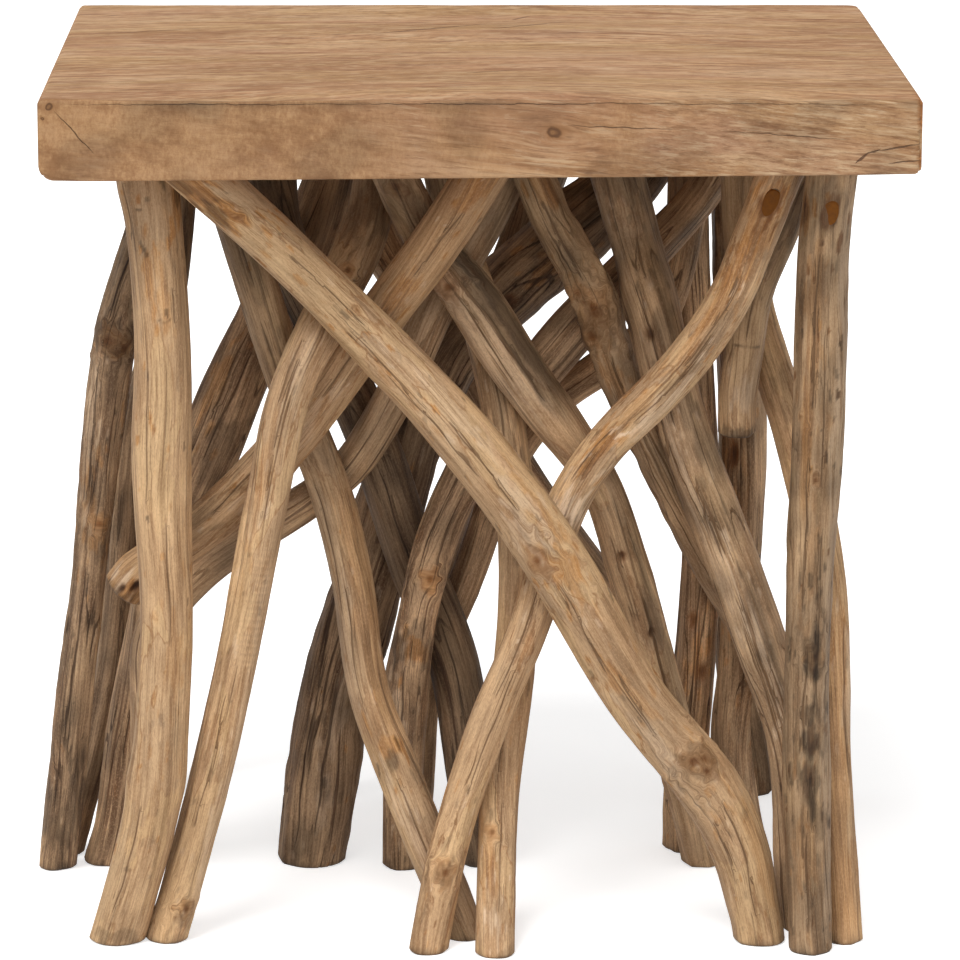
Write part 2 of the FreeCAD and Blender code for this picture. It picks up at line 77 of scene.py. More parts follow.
# %% Camera
plank_low, plank_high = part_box("table_top")
plank_centre = np.array((plank_low + plank_high) / 2)
camera_from_plank = -0.047
camera_distance = 2.685
camera_height = 0.843
camera_pitch = math.radians(13.1)
camera_yaw = math.radians(1.07)
camera_roll = math.radians(0.12)
film_width = 36.0
focal_length = 187.0
farthest_seen = 50.0


def camera_turn(pitch, yaw, roll):
    """Rotation whose columns are the camera's right, up and backward directions.

    The view direction is turned by the yaw and dipped by the pitch. The level direction to its
    right, and the upward one square to both, are then turned about it by the roll.
    """
    ahead = Vector((math.sin(yaw) * math.cos(pitch), math.cos(yaw) * math.cos(pitch), -math.sin(pitch)))
    level = Vector((math.cos(yaw), -math.sin(yaw), 0))
    upward = level.cross(ahead)
    right = level * math.cos(roll) + upward * math.sin(roll)
    up = upward * math.cos(roll) - level * math.sin(roll)
    return Matrix((right, up, -ahead)).transposed()


camera_data = bpy.data.cameras.new("photo_camera")
camera_data.sensor_width = film_width
camera_data.lens = focal_length
camera_data.clip_end = farthest_seen
camera = bpy.data.objects.new("photo_camera", camera_data)
place = Vector((plank_centre[0] + camera_from_plank, -camera_distance, camera_height))
camera.matrix_world = Matrix.Translation(place) @ camera_turn(camera_pitch, camera_yaw, camera_roll).to_4x4()
bpy.context.scene.collection.objects.link(camera)
bpy.context.scene.camera = camera
print("camera at", [round(v, 3) for v in place])

# %% [markdown]
# Smooth randomness. Wood is never even, so many shapes and tones below are stirred by a sum of
# sine waves. Around a branch each wave has a whole number of turns, so there is no seam. Two
# small helpers fade a value in and out without a hard edge.

# %% Waves
long_wave_share = 0.35
wave_ceiling = 1.6


def stir(along, around, seed, longest, shortest, turns, count=14):
    """Sum of sine waves: sin(2 pi along / length + turns x around + phase), about -1 to 1.

    Lengths run from longest to shortest by equal ratios, and longer waves count for more.
    """
    dice = np.random.default_rng(seed)
    total = np.zeros(np.broadcast(along, around).shape)
    power = 0.0
    for index in range(count):
        length = longest * (shortest / longest) ** (index / max(count - 1, 1))
        weight = (length / longest) ** long_wave_share
        twist = int(dice.integers(-turns, turns + 1))
        phase = dice.random() * 2 * np.pi
        total = total + weight * np.sin(2 * np.pi * along / length + twist * around + phase)
        power += weight ** 2 / 2
    return total / (wave_ceiling * math.sqrt(power))


def ease(value):
    """Smooth step: 0 below 0, 1 above 1, and 3v^2 - 2v^3 between."""
    value = np.clip(value, 0, 1)
    return value * value * (3 - 2 * value)


def bell(value):
    """Bell curve: 1 at 0, and exp(-v^2) away from it."""
    return np.exp(-value ** 2)


def window(value, start, end, fade):
    """1 between start and end, easing to 0 over the fade on both sides."""
    return ease((value - start) / fade + 0.5) * ease((end - value) / fade + 0.5)


print("a wave sample", np.round(stir(np.linspace(0, 1, 4), 0.0, 1, 0.3, 0.05, 3), 2))

# %% [markdown]
# Measuring a branch. Each packed branch runs from the underside of the plank down to the floor.
# A level slice through it is close to an ellipse. The middle of the slice is a point of the
# branch's centre line. A slanted tube cut level is longer in the direction in which it leans,
# by one over the cosine of the lean, and taking that out gives the true radius. Two branches
# end above the floor, with a cut square to them, so their last slices stay clear of that cut.

# %% Measure a branch
slice_count = 90
top_slice_gap = 0.4 * mm
foot_slice_gap = 1.2 * mm
square_slice_gap = 14 * mm
blur_rounds = 3


def read_mesh(node):
    """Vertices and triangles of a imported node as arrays."""
    mesh = frame["nodes"][node].data
    mesh.calc_loop_triangles()
    places = np.empty(len(mesh.vertices) * 3)
    mesh.vertices.foreach_get("co", places)
    corners = np.empty(len(mesh.loop_triangles) * 3, dtype=np.int32)
    mesh.loop_triangles.foreach_get("vertices", corners)
    return places.reshape(-1, 3), corners.reshape(-1, 3)


def slice_box(places, corners, level):
    """Middle and half widths, in x and y, of the cut through a mesh at one level.

    An edge from a to b crosses the level at a + (b - a)(level - a.z) / (b.z - a.z).
    """
    above = places[corners, 2] > level
    crossing = corners[above.any(1) & ~above.all(1)]
    cuts = []
    for first, second in ((0, 1), (1, 2), (2, 0)):
        a, b = places[crossing[:, first]], places[crossing[:, second]]
        split = (a[:, 2] > level) != (b[:, 2] > level)
        share = (level - a[split, 2]) / (b[split, 2] - a[split, 2])
        cuts.append(a[split, :2] + (b[split, :2] - a[split, :2]) * share[:, None])
    cut = np.concatenate(cuts)
    return (cut.min(0) + cut.max(0)) / 2, (cut.max(0) - cut.min(0)) / 2


def measure_branch(node, square_end=False):
    """Centre line from the top down and the radius along it, from level slices.

    With half widths p and q and a lean t, level run over drop, p^2 + q^2 = r^2 (2 + t^2).
    """
    places, corners = read_mesh(node)
    low, high = places[:, 2].min(), places[:, 2].max()
    lift = square_slice_gap if square_end else foot_slice_gap
    rows = []
    for level in np.linspace(high - top_slice_gap, low + lift, slice_count):
        middle, halves = slice_box(places, corners, level)
        rows.append([*middle, level, *halves])
    rows = np.array(rows)
    for _ in range(blur_rounds):
        rows[1:-1] = (rows[:-2] + 2 * rows[1:-1] + rows[2:]) / 4
    line, halves = rows[:, :3], rows[:, 3:]
    slope = np.gradient(line, axis=0)
    lean = np.hypot(slope[:, 0], slope[:, 1]) / np.abs(slope[:, 2])
    radius = np.sqrt((halves ** 2).sum(1) / (2 + lean ** 2))
    drop = line[-1, 2] - low
    if square_end:
        drop -= radius[-1] * math.hypot(*slope[-1, :2]) / np.linalg.norm(slope[-1])
    head = line[0] + slope[0] * (high - line[0, 2]) / slope[0, 2]
    foot = line[-1] - slope[-1] * drop / slope[-1, 2]
    return np.concatenate([[head], line, [foot]]), np.concatenate([radius[:1], radius, radius[-1:]])


sample_line, sample_radius = measure_branch("front_left_post")
print("front left post ends", np.round(sample_line[[0, -1]], 4).tolist())
print("front left post radius", round(float(sample_radius.mean()), 4))

# %% [markdown]
# The line of a branch. Ninety slices are too coarse for fine bark, so the centre line is read
# again at even steps of a millimetre or two, and smoothed over a centimetre so that no slice
# shows as a kink. Branches at the back get longer steps, because nobody sees their fibres. A
# bend moves a stretch of the line sideways by a few millimetres. It opens or closes a gap
# between crossing branches where the photograph has one.

# %% Centre line
front_step = 1.3 * mm
rear_step = 1.9 * mm
smooth_reach = 10 * mm


def centre_line(node, step, square_end=False, bends=()):
    """Even steps down a branch: places, directions, radii and the run from the top.

    A bend adds aside x exp(-((share - at) / spread)^2) to x, with share the run over the length.
    """
    line, radius = measure_branch(node, square_end)
    run = np.concatenate([[0], np.cumsum(np.linalg.norm(np.diff(line, axis=0), axis=1))])
    along = np.linspace(0, run[-1], int(run[-1] / step) + 1)
    places = np.column_stack([np.interp(along, run, line[:, axis]) for axis in range(3)])
    radii = np.interp(along, run, radius)
    reach = round(smooth_reach / step)
    blur = np.hanning(2 * reach + 1)
    blur /= blur.sum()
    padded = np.pad(places, ((reach, reach), (0, 0)), mode="reflect", reflect_type="odd")
    places = np.column_stack([np.convolve(padded[:, axis], blur, "valid") for axis in range(3)])
    radii = np.convolve(np.pad(radii, reach, mode="edge"), blur, "valid")
    for at, spread, aside in bends:
        places[:, 0] += aside * mm * bell((along / run[-1] - at) / spread)
    ahead = np.gradient(places, axis=0)
    ahead /= np.linalg.norm(ahead, axis=1)[:, None]
    return places, ahead, radii, along


def branch_frames(ahead):
    """Two directions square to the branch: one towards the back, one towards the right."""
    back = np.array([0.0, 1.0, 0.0]) - ahead * ahead[:, 1:2]
    back /= np.linalg.norm(back, axis=1)[:, None]
    return back, np.cross(ahead, back)


def turn_between(around, centre):
    """Smallest signed turn from a centre angle, in radians."""
    return (around - centre + np.pi) % (2 * np.pi) - np.pi


print("steps down the front left post", len(centre_line("front_left_post", front_step)[3]))

# %% [markdown]
# The skin of a branch. Peeled branches aren't round: long shallow flutes follow the grain and
# twist a little, drying checks open as narrow dark grooves, and knots swell with a sunken heart.
# Unroll the skin and all of this is a relief on a flat sheet: s runs down the branch and a goes
# round it. Angle 0 faces the back, 90 degrees the right, 180 the front and 270 the left.
# One class holds the sheet, its height in metres and its paint, and the cells after it add each
# kind of mark. A place on it is a share of the length from the top and an angle in degrees.

# %% A branch unrolled
twist_run = 0.4
ring_step_share = 0.85
flute_share = 0.055
ridge_height = 0.9 * mm
fibre_height = 0.07 * mm
lump_height = 0.5 * mm
seam_depth = 0.9 * mm
seam_half_share = 0.07
far_off = 9.0
plain_look = dict(rear=False, square_end=False, plank_shadow=0.42, grey=0.1, warm=0.0, shade=1.0, bark=0.5,
                  flute=1.0, twist=0.6, fissure=0.2, rough=0.1, bends=(), swells=(), knots=(), checks=(),
                  nicks=(), patches=(), sides=(), chatter=())


class Skin:
    """A branch unrolled: s runs down it, a goes round it, and relief and paint lie on that grid."""

    def __init__(self, along, radii, step, look, seed):
        self.look = look
        self.seed = seed
        self.size = radii.mean()
        self.length = along[-1]
        self.s = along[:, None]
        points = int(2 * np.pi * self.size / (ring_step_share * step))
        self.a = np.linspace(0, 2 * np.pi, points, endpoint=False)[None, :]
        self.twisted = self.a + look["twist"] * self.s / twist_run
        self.share = self.s / self.length
        self.from_foot = self.length - self.s
        bare = np.zeros((len(along), points))
        self.knot = bare
        self.check_side = bare + far_off
        self.check_open = bare
        self.tone = {"grey": bare + look["grey"], "warm": bare + look["warm"], "pale": bare}
        self.shade = bare + look["shade"]
        self.grow(radii[:, None])

    def waves(self, around, salt, longest, shortest, turns, count=14):
        """Stirring that belongs to this branch; each salt gives another set of waves."""
        return stir(self.s, around, self.seed + salt, longest, shortest, turns, count)

    def near(self, at, angle):
        """Signed run, turn and arc from one place to every point of the sheet."""
        turn = turn_between(self.a, math.radians(angle))
        return self.s - at * self.length, turn, turn * self.size

    def deepen(self, kind, amount):
        """Raise one tone to an amount, or darken the shade with it where the kind is no tone."""
        if kind in self.tone:
            self.tone[kind] = np.maximum(self.tone[kind], amount)
        else:
            self.shade = self.shade * (1 - 0.6 * amount)

    def grow(self, radius):
        """Height = flutes + sharp ridges + fibres + lumps - drying seams, and the line of the grain."""
        look = self.look
        self.flute = self.waves(self.twisted, 0, 0.6, 0.2, 3)
        ridge = np.abs(self.waves(self.twisted, 1, 0.5, 0.16, 4, 10))
        self.fibre = self.waves(self.twisted, 2, 0.4, 0.12, 34, 26)
        self.lumps = self.waves(self.a, 3, 0.06, 0.012, 6, 20)
        self.seam_side = self.waves(self.twisted, 5, 0.35, 0.1, 9, 16)
        self.seam_open = ease(0.45 + 1.2 * self.waves(self.a, 6, 0.22, 0.05, 4, 8))
        seam = bell(self.seam_side / seam_half_share) * self.seam_open
        self.height = (flute_share * radius * self.flute + ridge_height * (0.35 - ridge) * look["flute"]
                       + fibre_height * self.fibre + lump_height * look["rough"] * self.lumps
                       - seam_depth * look["fissure"] * seam)
        self.check = 0.25 * min(1.0, look["fissure"]) * seam
        turning = 0.9 * (self.twisted - self.a) + 0.1 * self.waves(self.a, 4, 0.4, 0.1, 2)
        self.grain_turn = self.a + turning


print("a plain branch is set by", list(plain_look))

# %% [markdown]
# Bulges and knots. A branch thickens on one side where another one rubbed or grew out of it. A
# knot is a swelling with a sunken heart and a ring, and the grain flows round it as water flows
# round a stone. Both are bells on the unrolled sheet, so they never need a mesh of their own.

# %% Bulges and knots
knot_round, knot_heart = 1.6, 0.4
knot_ring, knot_ring_width, knot_ring_depth = 0.85, 0.16, 0.2 * mm
knot_pull = 5


def add_swell(skin, at, angle, long, wide, rise):
    """Broad bulge on one side: rise x bell of the run and the arc over their half sizes in mm."""
    run, _, arc = skin.near(at, angle)
    skin.height = skin.height + rise * mm * bell(run / (long * mm)) * bell(arc / (wide * mm))


def add_knot(skin, at, angle, size, rise):
    """Swelling = bell of the reach - 0.8 x a narrow bell - a ring, with reach = distance / size.

    The grain turns away by the square of size over distance, as water does round a stone.
    """
    run, turn, arc = skin.near(at, angle)
    lobes = 1 + 0.3 * skin.waves(skin.a, int(angle), 0.03, 0.006, 14, 16)
    reach = np.sqrt(run ** 2 * 0.6 + arc ** 2) * lobes / (size * mm)
    ring = bell((reach - knot_ring) / knot_ring_width)
    mound = bell(reach / knot_round) - 0.8 * bell(reach / knot_heart)
    skin.height = skin.height + rise * mm * mound - knot_ring_depth * ring
    skin.knot = np.maximum(skin.knot, np.maximum(ease(1.3 - reach / 0.5), 0.38 * ring))
    skin.deepen("warm", 0.55 * ease(1.5 - reach / 1.1))
    skin.grain_turn = skin.grain_turn - turn * bell(reach / knot_pull) / np.maximum(reach, 1) ** 2


print("a knot pushes the grain aside over", knot_pull, "times its size")

# %% [markdown]
# Checks and nicks. Wood splits along its grain as it dries. The groove is real relief, and how
# far each point lies from its middle goes into the paint, so the finish can draw the dark slit
# itself as thin as a hair. A nick is a knife mark across the grain, left by whoever peeled it.

# %% Checks and nicks
check_depth, check_deepening = 0.85, 0.35
check_shoulder = 0.6 * mm
check_blur = 0.08 * mm
check_reach, check_fade = 2.6 * mm, 0.9 * mm
nick_depth = 0.5 * mm


def add_check(skin, start, end, angle, drift, width):
    """Drying crack: a groove along the grain whose half width tapers as sin(pi x share)^0.6."""
    share = np.clip((skin.share - start) / (end - start), 0, 1)
    wander = 0.05 * skin.waves(0.0, int(angle) + 7, 0.15, 0.03, 0, 8)
    middle = math.radians(angle) + math.radians(drift) * share + wander
    arc = turn_between(skin.a, middle) * skin.size
    taper = np.sin(np.pi * share) ** 0.6 * (skin.share > start) * (skin.share < end)
    half = width * mm * taper / 2
    groove = bell(arc / (half + check_shoulder)) * ease(2 * taper)
    depth = width * (check_depth + check_deepening * width) * mm
    skin.height = skin.height - depth * groove * taper
    skin.check = np.maximum(skin.check, 0.3 * groove)
    side = arc / (half + check_blur)
    skin.check_side = np.where(np.abs(side) < np.abs(skin.check_side), side, skin.check_side)
    beside = ease((check_reach - np.abs(arc)) / check_fade) * ease(3 * taper)
    skin.check_open = np.maximum(skin.check_open, beside)


def add_nick(skin, at, angle, half_turn, sag, width):
    """Knife mark across the grain: a short line that sags by the square of its turn."""
    run, turn, _ = skin.near(at, angle)
    turned = turn / math.radians(half_turn)
    nick = bell((run - sag * mm * turned ** 2) / (width * mm)) * ease(3 - 3 * np.abs(turned))
    skin.height = skin.height - nick_depth * nick
    skin.check = np.maximum(skin.check, 0.7 * nick)


print("a check 1 mm wide is", check_depth + check_deepening, "mm deep")

# %% [markdown]
# Patches, sides and drawknife marks. Weather and resin colour a branch in ovals and in long
# strips, and both get a ragged edge from waves. Where a drawknife jumped along the wood it left
# a row of small dents, which is the one mark here that is regular.

# %% Patches, sides and drawknife marks
hollow_depth = 3 * mm
strip_fade = 0.09
strip_edge = 1.6 * mm
dent_depth = 0.16 * mm


def add_patch(skin, kind, at, angle, long, wide, strength):
    """Oval mark with a ragged edge: a tone, a dark spot, a stain, or a hollow rotted out."""
    run, _, arc = skin.near(at, angle)
    distance = np.hypot(run / (long * mm), arc / (wide * mm))
    ragged = 1 + 0.55 * skin.waves(skin.a, int(angle + 100 * at) + 31, 0.08, 0.012, 16, 26)
    spot = strength * ease(2.4 - 2.2 * distance * ragged)
    if kind == "dark":
        skin.knot = np.maximum(skin.knot, spot)
    elif kind == "hollow":
        skin.height = skin.height - strength * hollow_depth * ease(1.4 - distance)
        skin.knot = np.maximum(skin.knot, strength * ease(1.5 - distance))
        skin.check = np.maximum(skin.check, strength * ease(1.1 - distance))
    else:
        skin.deepen(kind, spot)


def add_side(skin, kind, start, end, angle, half_turn, strength):
    """Long strip of one tone or stain between two shares, with a wandering border."""
    border = 0.22 * skin.waves(0.0, int(angle) + 5, 0.15, 0.02, 0) + 0.12 * skin.fibre
    _, turn, _ = skin.near(0, angle)
    inside = (math.radians(half_turn) * (1 + border) - np.abs(turn)) * skin.size
    strip = window(skin.share, start, end, strip_fade) * ease(inside / strip_edge + 0.5)
    skin.deepen(kind, strength * strip)


def add_chatter(skin, start, end, pitch, angle, spread):
    """Row of small dents that a drawknife leaves: sin(2 pi s / pitch) on one side."""
    _, turn, _ = skin.near(0, angle)
    facing = bell(turn / math.radians(spread)) * window(skin.share, start, end, 0.05)
    ripple = np.sin(2 * np.pi * skin.s / (pitch * mm)) * facing
    skin.height = skin.height + dent_depth * ripple
    # The paint follows the dents: painted shade in each dent and painted light on each ridge.
    skin.shade = skin.shade * (1 + 0.09 * ripple)


print("a full hollow is", hollow_depth / mm, "mm deep")

# %% [markdown]
# Weather, shade and saw. Every branch is cloudy where it is grey. Its head is painted darker and
# browner under the plank, as painted shadow of the plank. Its foot is painted darker, as dirt and
# painted contact shadow where it stands on the floor. The sawn foot's edge is worn round. These
# come last, because they work on whatever marks the branch has.

# %% Weathering, painted shade and worn feet
plank_shadow_reach = 170 * mm
edge_wear = 1.3 * mm
foot_dirt_shadow_reach = 6 * mm
foot_rim_reach = 1.2 * mm


def weather(skin):
    """Clouds, painted shadow of the plank on the head, dirt and painted contact shadow at the foot and its
    rim; the foot's edge follows a quarter circle.
    """
    cloudy = 0.24 * skin.look["grey"] + 0.04
    skin.shade = skin.shade * (1 + cloudy * skin.waves(skin.a, 9, 0.16, 0.02, 3, 16))
    # Painted shadow of the plank: the head is darker and less grey within plank_shadow_reach of it.
    plank_shadow = skin.look["plank_shadow"] * ease(1 - skin.s / plank_shadow_reach)
    skin.shade = skin.shade * (1 - plank_shadow)
    skin.tone["grey"] = skin.tone["grey"] * (1 - plank_shadow)
    wear = np.maximum(edge_wear - skin.from_foot, 0) / edge_wear
    skin.height = skin.height - edge_wear * (1 - np.sqrt(1 - wear ** 2)) * (1 + 0.4 * skin.flute)
    # Dirt and painted contact shadow at the foot: a darker band and a darker rim next to the floor.
    dark_band = ease(1 - skin.from_foot / foot_dirt_shadow_reach + 0.4 * skin.lumps)
    rim = ease(1.3 - skin.from_foot / foot_rim_reach + 0.3 * skin.lumps)
    skin.shade = skin.shade * (1 - 0.3 * dark_band) * (1 - 0.6 * rim)


def branch_skin(along, radii, step, look, seed):
    """Skin of one branch with all the marks that its look lists."""
    skin = Skin(along, radii, step, look, seed)
    marks = (("swells", add_swell), ("knots", add_knot), ("checks", add_check), ("nicks", add_nick),
             ("patches", add_patch), ("sides", add_side), ("chatter", add_chatter))
    for key, add in marks:
        for mark in look[key]:
            add(skin, *mark)
    weather(skin)
    return skin


print("dirt reaches", foot_dirt_shadow_reach / mm, "mm up a foot, the worn edge", edge_wear / mm, "mm")

# %% [markdown]
# Rolling the skin up. Each point of the sheet goes to the centre line plus its radius and
# height in the direction of its angle. Near the sawn ends each ring slides along the branch
# until it lies level, as a saw cut parallel to the floor leaves it. The paint goes with the
# mesh as four-channel attributes, and "grain" unrolls the branch for the wood's pattern.

# %% Branch surface
levelling_run = 2.5


def branch_surface(node, features, seed):
    """Places and paint of one branch: centre line + (radius + height)(cos a back + sin a right)."""
    look = {**plain_look, **features}
    step = rear_step if look["rear"] else front_step
    places, ahead, radii, along = centre_line(node, step, look["square_end"], look["bends"])
    back, right = branch_frames(ahead)
    skin = branch_skin(along, radii, step, look, seed)
    radius = radii[:, None] + skin.height
    offset = (radius * np.cos(skin.a))[..., None] * back[:, None]
    offset = offset + (radius * np.sin(skin.a))[..., None] * right[:, None]
    level_reach = 2 * skin.size * levelling_run
    level = ease(1 - skin.s / level_reach)
    if not look["square_end"]:
        level = np.maximum(level, ease(1 - skin.from_foot / level_reach))
    slide = level * offset[..., 2] / ahead[:, None, 2]
    grid = places[:, None] + offset - slide[..., None] * ahead[:, None]
    grid[..., 2] = np.maximum(grid[..., 2], floor_z)
    if not look["square_end"]:
        grid[-1, :, 2] = floor_z
    grid[0, :, 2] = plank_low.z
    turned = skin.grain_turn
    run = skin.s + np.zeros_like(turned)
    fissures = ease(1.4 * look["fissure"] - 0.1) * skin.seam_open
    paints = {"grain": [skin.size * np.cos(turned), skin.size * np.sin(turned), run],
              "marks": [skin.knot, skin.check, 0 * run, 0 * run + look["bark"]],
              "tones": [skin.tone["grey"], skin.tone["warm"], skin.tone["pale"], skin.shade],
              "lines": [skin.check_side, skin.seam_side / 0.06, skin.check_open, fissures]}
    return grid, {key: np.stack(layers, -1) for key, layers in paints.items()}


print("a ring is level again", 2 * levelling_run, "radii from a cut")

# %% [markdown]
# From grid to mesh. The grid's columns go round, so the last column joins the first and there
# is no seam. Each end is closed by rings that shrink to one point, the pole, as end grain needs
# points of its own for its paint. foreach_set fills the whole mesh at once.

# %% Closed mesh from a grid
cap_rings = (0.93, 0.8, 0.6, 0.38, 0.17)
pole_paint = {"lines": (far_off, far_off, 0.0, 0.0), "marks": (0.0, 0.0, 1.0, 0.0)}


def capped(key, values):
    """Points of one layer: cap rings, the grid, cap rings and the two poles.

    A cap ring is middle + share x (end ring - middle). Third channel of the marks: end grain.
    """
    caps = []
    poles = []
    for ring in (values[0], values[-1]):
        middle = ring.mean(0)
        shares = cap_rings if key in ("place", "grain") else (1,) * len(cap_rings)
        rings = np.stack([middle + (ring - middle) * share for share in shares])
        if key == "marks":
            rings[1:, :, 2] = 1
        caps.append(rings)
        poles.append(pole_paint.get(key, middle))
    rows = np.concatenate([caps[0][::-1], values, caps[1]])
    return np.concatenate([rows.reshape(-1, rows.shape[-1]), np.array(poles)]).astype(np.float32)


def surface_object(name, grid, paints):
    """Closed mesh from a grid: four-sided faces between rows, and a fan at each pole."""
    rows = len(grid) + 2 * len(cap_rings)
    columns = grid.shape[1]
    index = np.arange(rows * columns).reshape(rows, columns)
    beside = np.roll(index, -1, axis=1)
    quads = np.stack([index[:-1], index[1:], beside[1:], beside[:-1]], -1).reshape(-1, 4)
    first_fan = np.stack([index[0], beside[0], np.full(columns, rows * columns)], -1)
    last_fan = np.stack([beside[-1], index[-1], np.full(columns, rows * columns + 1)], -1)
    corners = np.concatenate([quads.ravel(), first_fan.ravel(), last_fan.ravel()]).astype(np.int32)
    sizes = np.repeat([4, 3], [len(quads), 2 * columns])
    starts = np.concatenate([[0], np.cumsum(sizes)[:-1]]).astype(np.int32)
    points = capped("place", grid)
    mesh = bpy.data.meshes.new(name)
    mesh.vertices.add(len(points))
    mesh.loops.add(len(corners))
    mesh.polygons.add(len(sizes))
    mesh.vertices.foreach_set("co", points.ravel())
    mesh.loops.foreach_set("vertex_index", corners)
    mesh.polygons.foreach_set("loop_start", starts)
    mesh.update(calc_edges=True)
    mesh.polygons.foreach_set("use_smooth", np.ones(len(sizes), dtype=bool))
    for key, values in paints.items():
        is_vector = values.shape[-1] == 3
        paint = mesh.attributes.new(key, "FLOAT_VECTOR" if is_vector else "FLOAT_COLOR", "POINT")
        paint.data.foreach_set("vector" if is_vector else "color", capped(key, values).ravel())
    piece = bpy.data.objects.new(name, mesh)
    bpy.context.scene.collection.objects.link(piece)
    return piece


print("rings on a cap", len(cap_rings))

# %% [markdown]
# Mixing a finish. A finish is a chain of small steps, and this class keeps each step short: read
# a painted attribute, draw a noise out along the grain, spread a value from one range to
# another, and lay one coat of colour over the last. A coat is a share and a tone. Wherever a
# step takes a value it can also take a value with its two ends, and it is spread between them.

# %% Material helpers
srgb_break = 0.04045
srgb_slope = 12.92
srgb_offset = 0.055
srgb_power = 2.4


def colour(red, green, blue):
    """Linear colour from the 0 to 255 values seen on a screen: ((v + 0.055) / 1.055)^2.4."""
    share = np.array([red, green, blue]) / 255
    curve = ((share + srgb_offset) / (1 + srgb_offset)) ** srgb_power
    linear = np.where(share <= srgb_break, share / srgb_slope, curve)
    return (*[float(v) for v in linear], 1.0)


class Recipe:
    """Short way to add and join shader nodes in one material."""

    def __init__(self, name):
        self.material = bpy.data.materials.new(name)
        self.material.use_nodes = True
        self.nodes = self.material.node_tree.nodes
        self.links = self.material.node_tree.links
        self.shader = self.nodes["Principled BSDF"]

    def give(self, socket, value):
        """Join an output to a socket, or set it; three screen values become a linear colour."""
        if isinstance(value, tuple) and hasattr(value[0], "is_output"):
            value = self.spread(*value)
        if hasattr(value, "is_output"):
            self.links.new(value, socket)
        elif socket.type == "RGBA" and len(value) == 3:
            socket.default_value = colour(*value)
        else:
            socket.default_value = value

    def add(self, kind, inputs, output=0, **settings):
        """New node with these settings and inputs; one of its outputs comes back."""
        node = self.nodes.new("ShaderNode" + kind)
        for key, value in settings.items():
            setattr(node, key, value)
        for key, value in inputs.items():
            self.give(node.inputs[key], value)
        return node.outputs[output]

    def read(self, name):
        """Four channels of a painted attribute."""
        paint = self.add("Attribute", {}, "Color", attribute_name=name)
        channels = self.add("SeparateColor", {0: paint}).node.outputs
        return *channels, paint.node.outputs["Alpha"]

    def spread(self, value, low, high, weak=0.0, strong=1.0):
        """Weak at the low end, strong at the high end, and a straight line between."""
        return self.add("MapRange", {0: value, 1: low, 2: high, 3: weak, 4: strong}, clamp=True)

    def mix(self, share, first, second, blend="MIX"):
        """Second tone over the first, by a share."""
        return self.add("Mix", {0: share, 6: first, 7: second}, 2, data_type="RGBA", blend_type=blend)

    def lay(self, base, *coats):
        """Coats over a base, one after another."""
        for share, tone in coats:
            base = self.mix(share, base, tone)
        return base

    def work_out(self, operation, first, second=0.0, clamp=False):
        """One sum on one or two values."""
        return self.add("Math", {0: first, 1: second}, operation=operation, use_clamp=clamp)

    def times(self, first, second, clamp=False):
        """First x second."""
        return self.work_out("MULTIPLY", first, second, clamp)

    def size(self, value, less=0.0):
        """Size of a value less a number, without its sign."""
        return self.work_out("ABSOLUTE", self.work_out("SUBTRACT", value, less))

    def most(self, first, second):
        """The larger of two values."""
        return self.work_out("MAXIMUM", first, second)

    def weigh(self, *parts):
        """Sum of value x weight over all parts."""
        total = 0.0
        for value, weight in parts:
            total = self.add("Math", {0: value, 1: weight, 2: total}, operation="MULTIPLY_ADD")
        return total

    def noise(self, vector, scale, detail=4.0, roughness=0.55, distortion=0.0):
        """Smooth random value, about 0.3 to 0.7, with scale blobs to the metre."""
        return self.add("TexNoise", {"Vector": vector, "Scale": scale, "Detail": detail,
                                     "Roughness": roughness, "Distortion": distortion}, "Fac")

    def grained(self, draw, scale, detail, roughness, distortion=0.0):
        """Noise along the grain; each blob is 1 / draw times as long as it is wide."""
        grain = self.add("Attribute", {}, "Vector", attribute_name="grain")
        drawn = self.add("Mapping", {"Vector": grain, "Scale": (1.0, 1.0, draw)})
        return self.noise(drawn, scale, detail, roughness, distortion)

    def rings(self, vector, scale, distortion, detail, detail_scale, detail_roughness=0.5):
        """Growth rings: a wave about the third axis of the grain."""
        return self.add("TexWave", {"Vector": vector, "Scale": scale, "Distortion": distortion,
                                    "Detail": detail, "Detail Scale": detail_scale,
                                    "Detail Roughness": detail_roughness}, "Fac",
                        wave_type="RINGS", rings_direction="Z")

    def finish(self, inputs):
        """Give the shader its inputs; the finished material comes back."""
        for key, value in inputs.items():
            self.give(self.shader.inputs[key], value)
        return self.material


print("mid grey on a screen is", round(colour(128, 128, 128)[0], 3), "as light")

# %% [markdown]
# The wood of the branches. Colour follows the grain, so the pattern reads the "grain"
# attribute, which unrolls each branch straight and carries the swerve around knots. Long thin
# noise makes fibres, wider noise makes streaks, and the widest makes patches. Then comes what
# has a place of its own: knots, dark checks, sawn ends and bark in "marks"; grey weathering,
# warm resin and bleached wood in "tones"; how far a point is from a crack in "lines". The
# finish is made in the order in which a branch got its colours, one cell for each step.

# %% What the branch wood reads


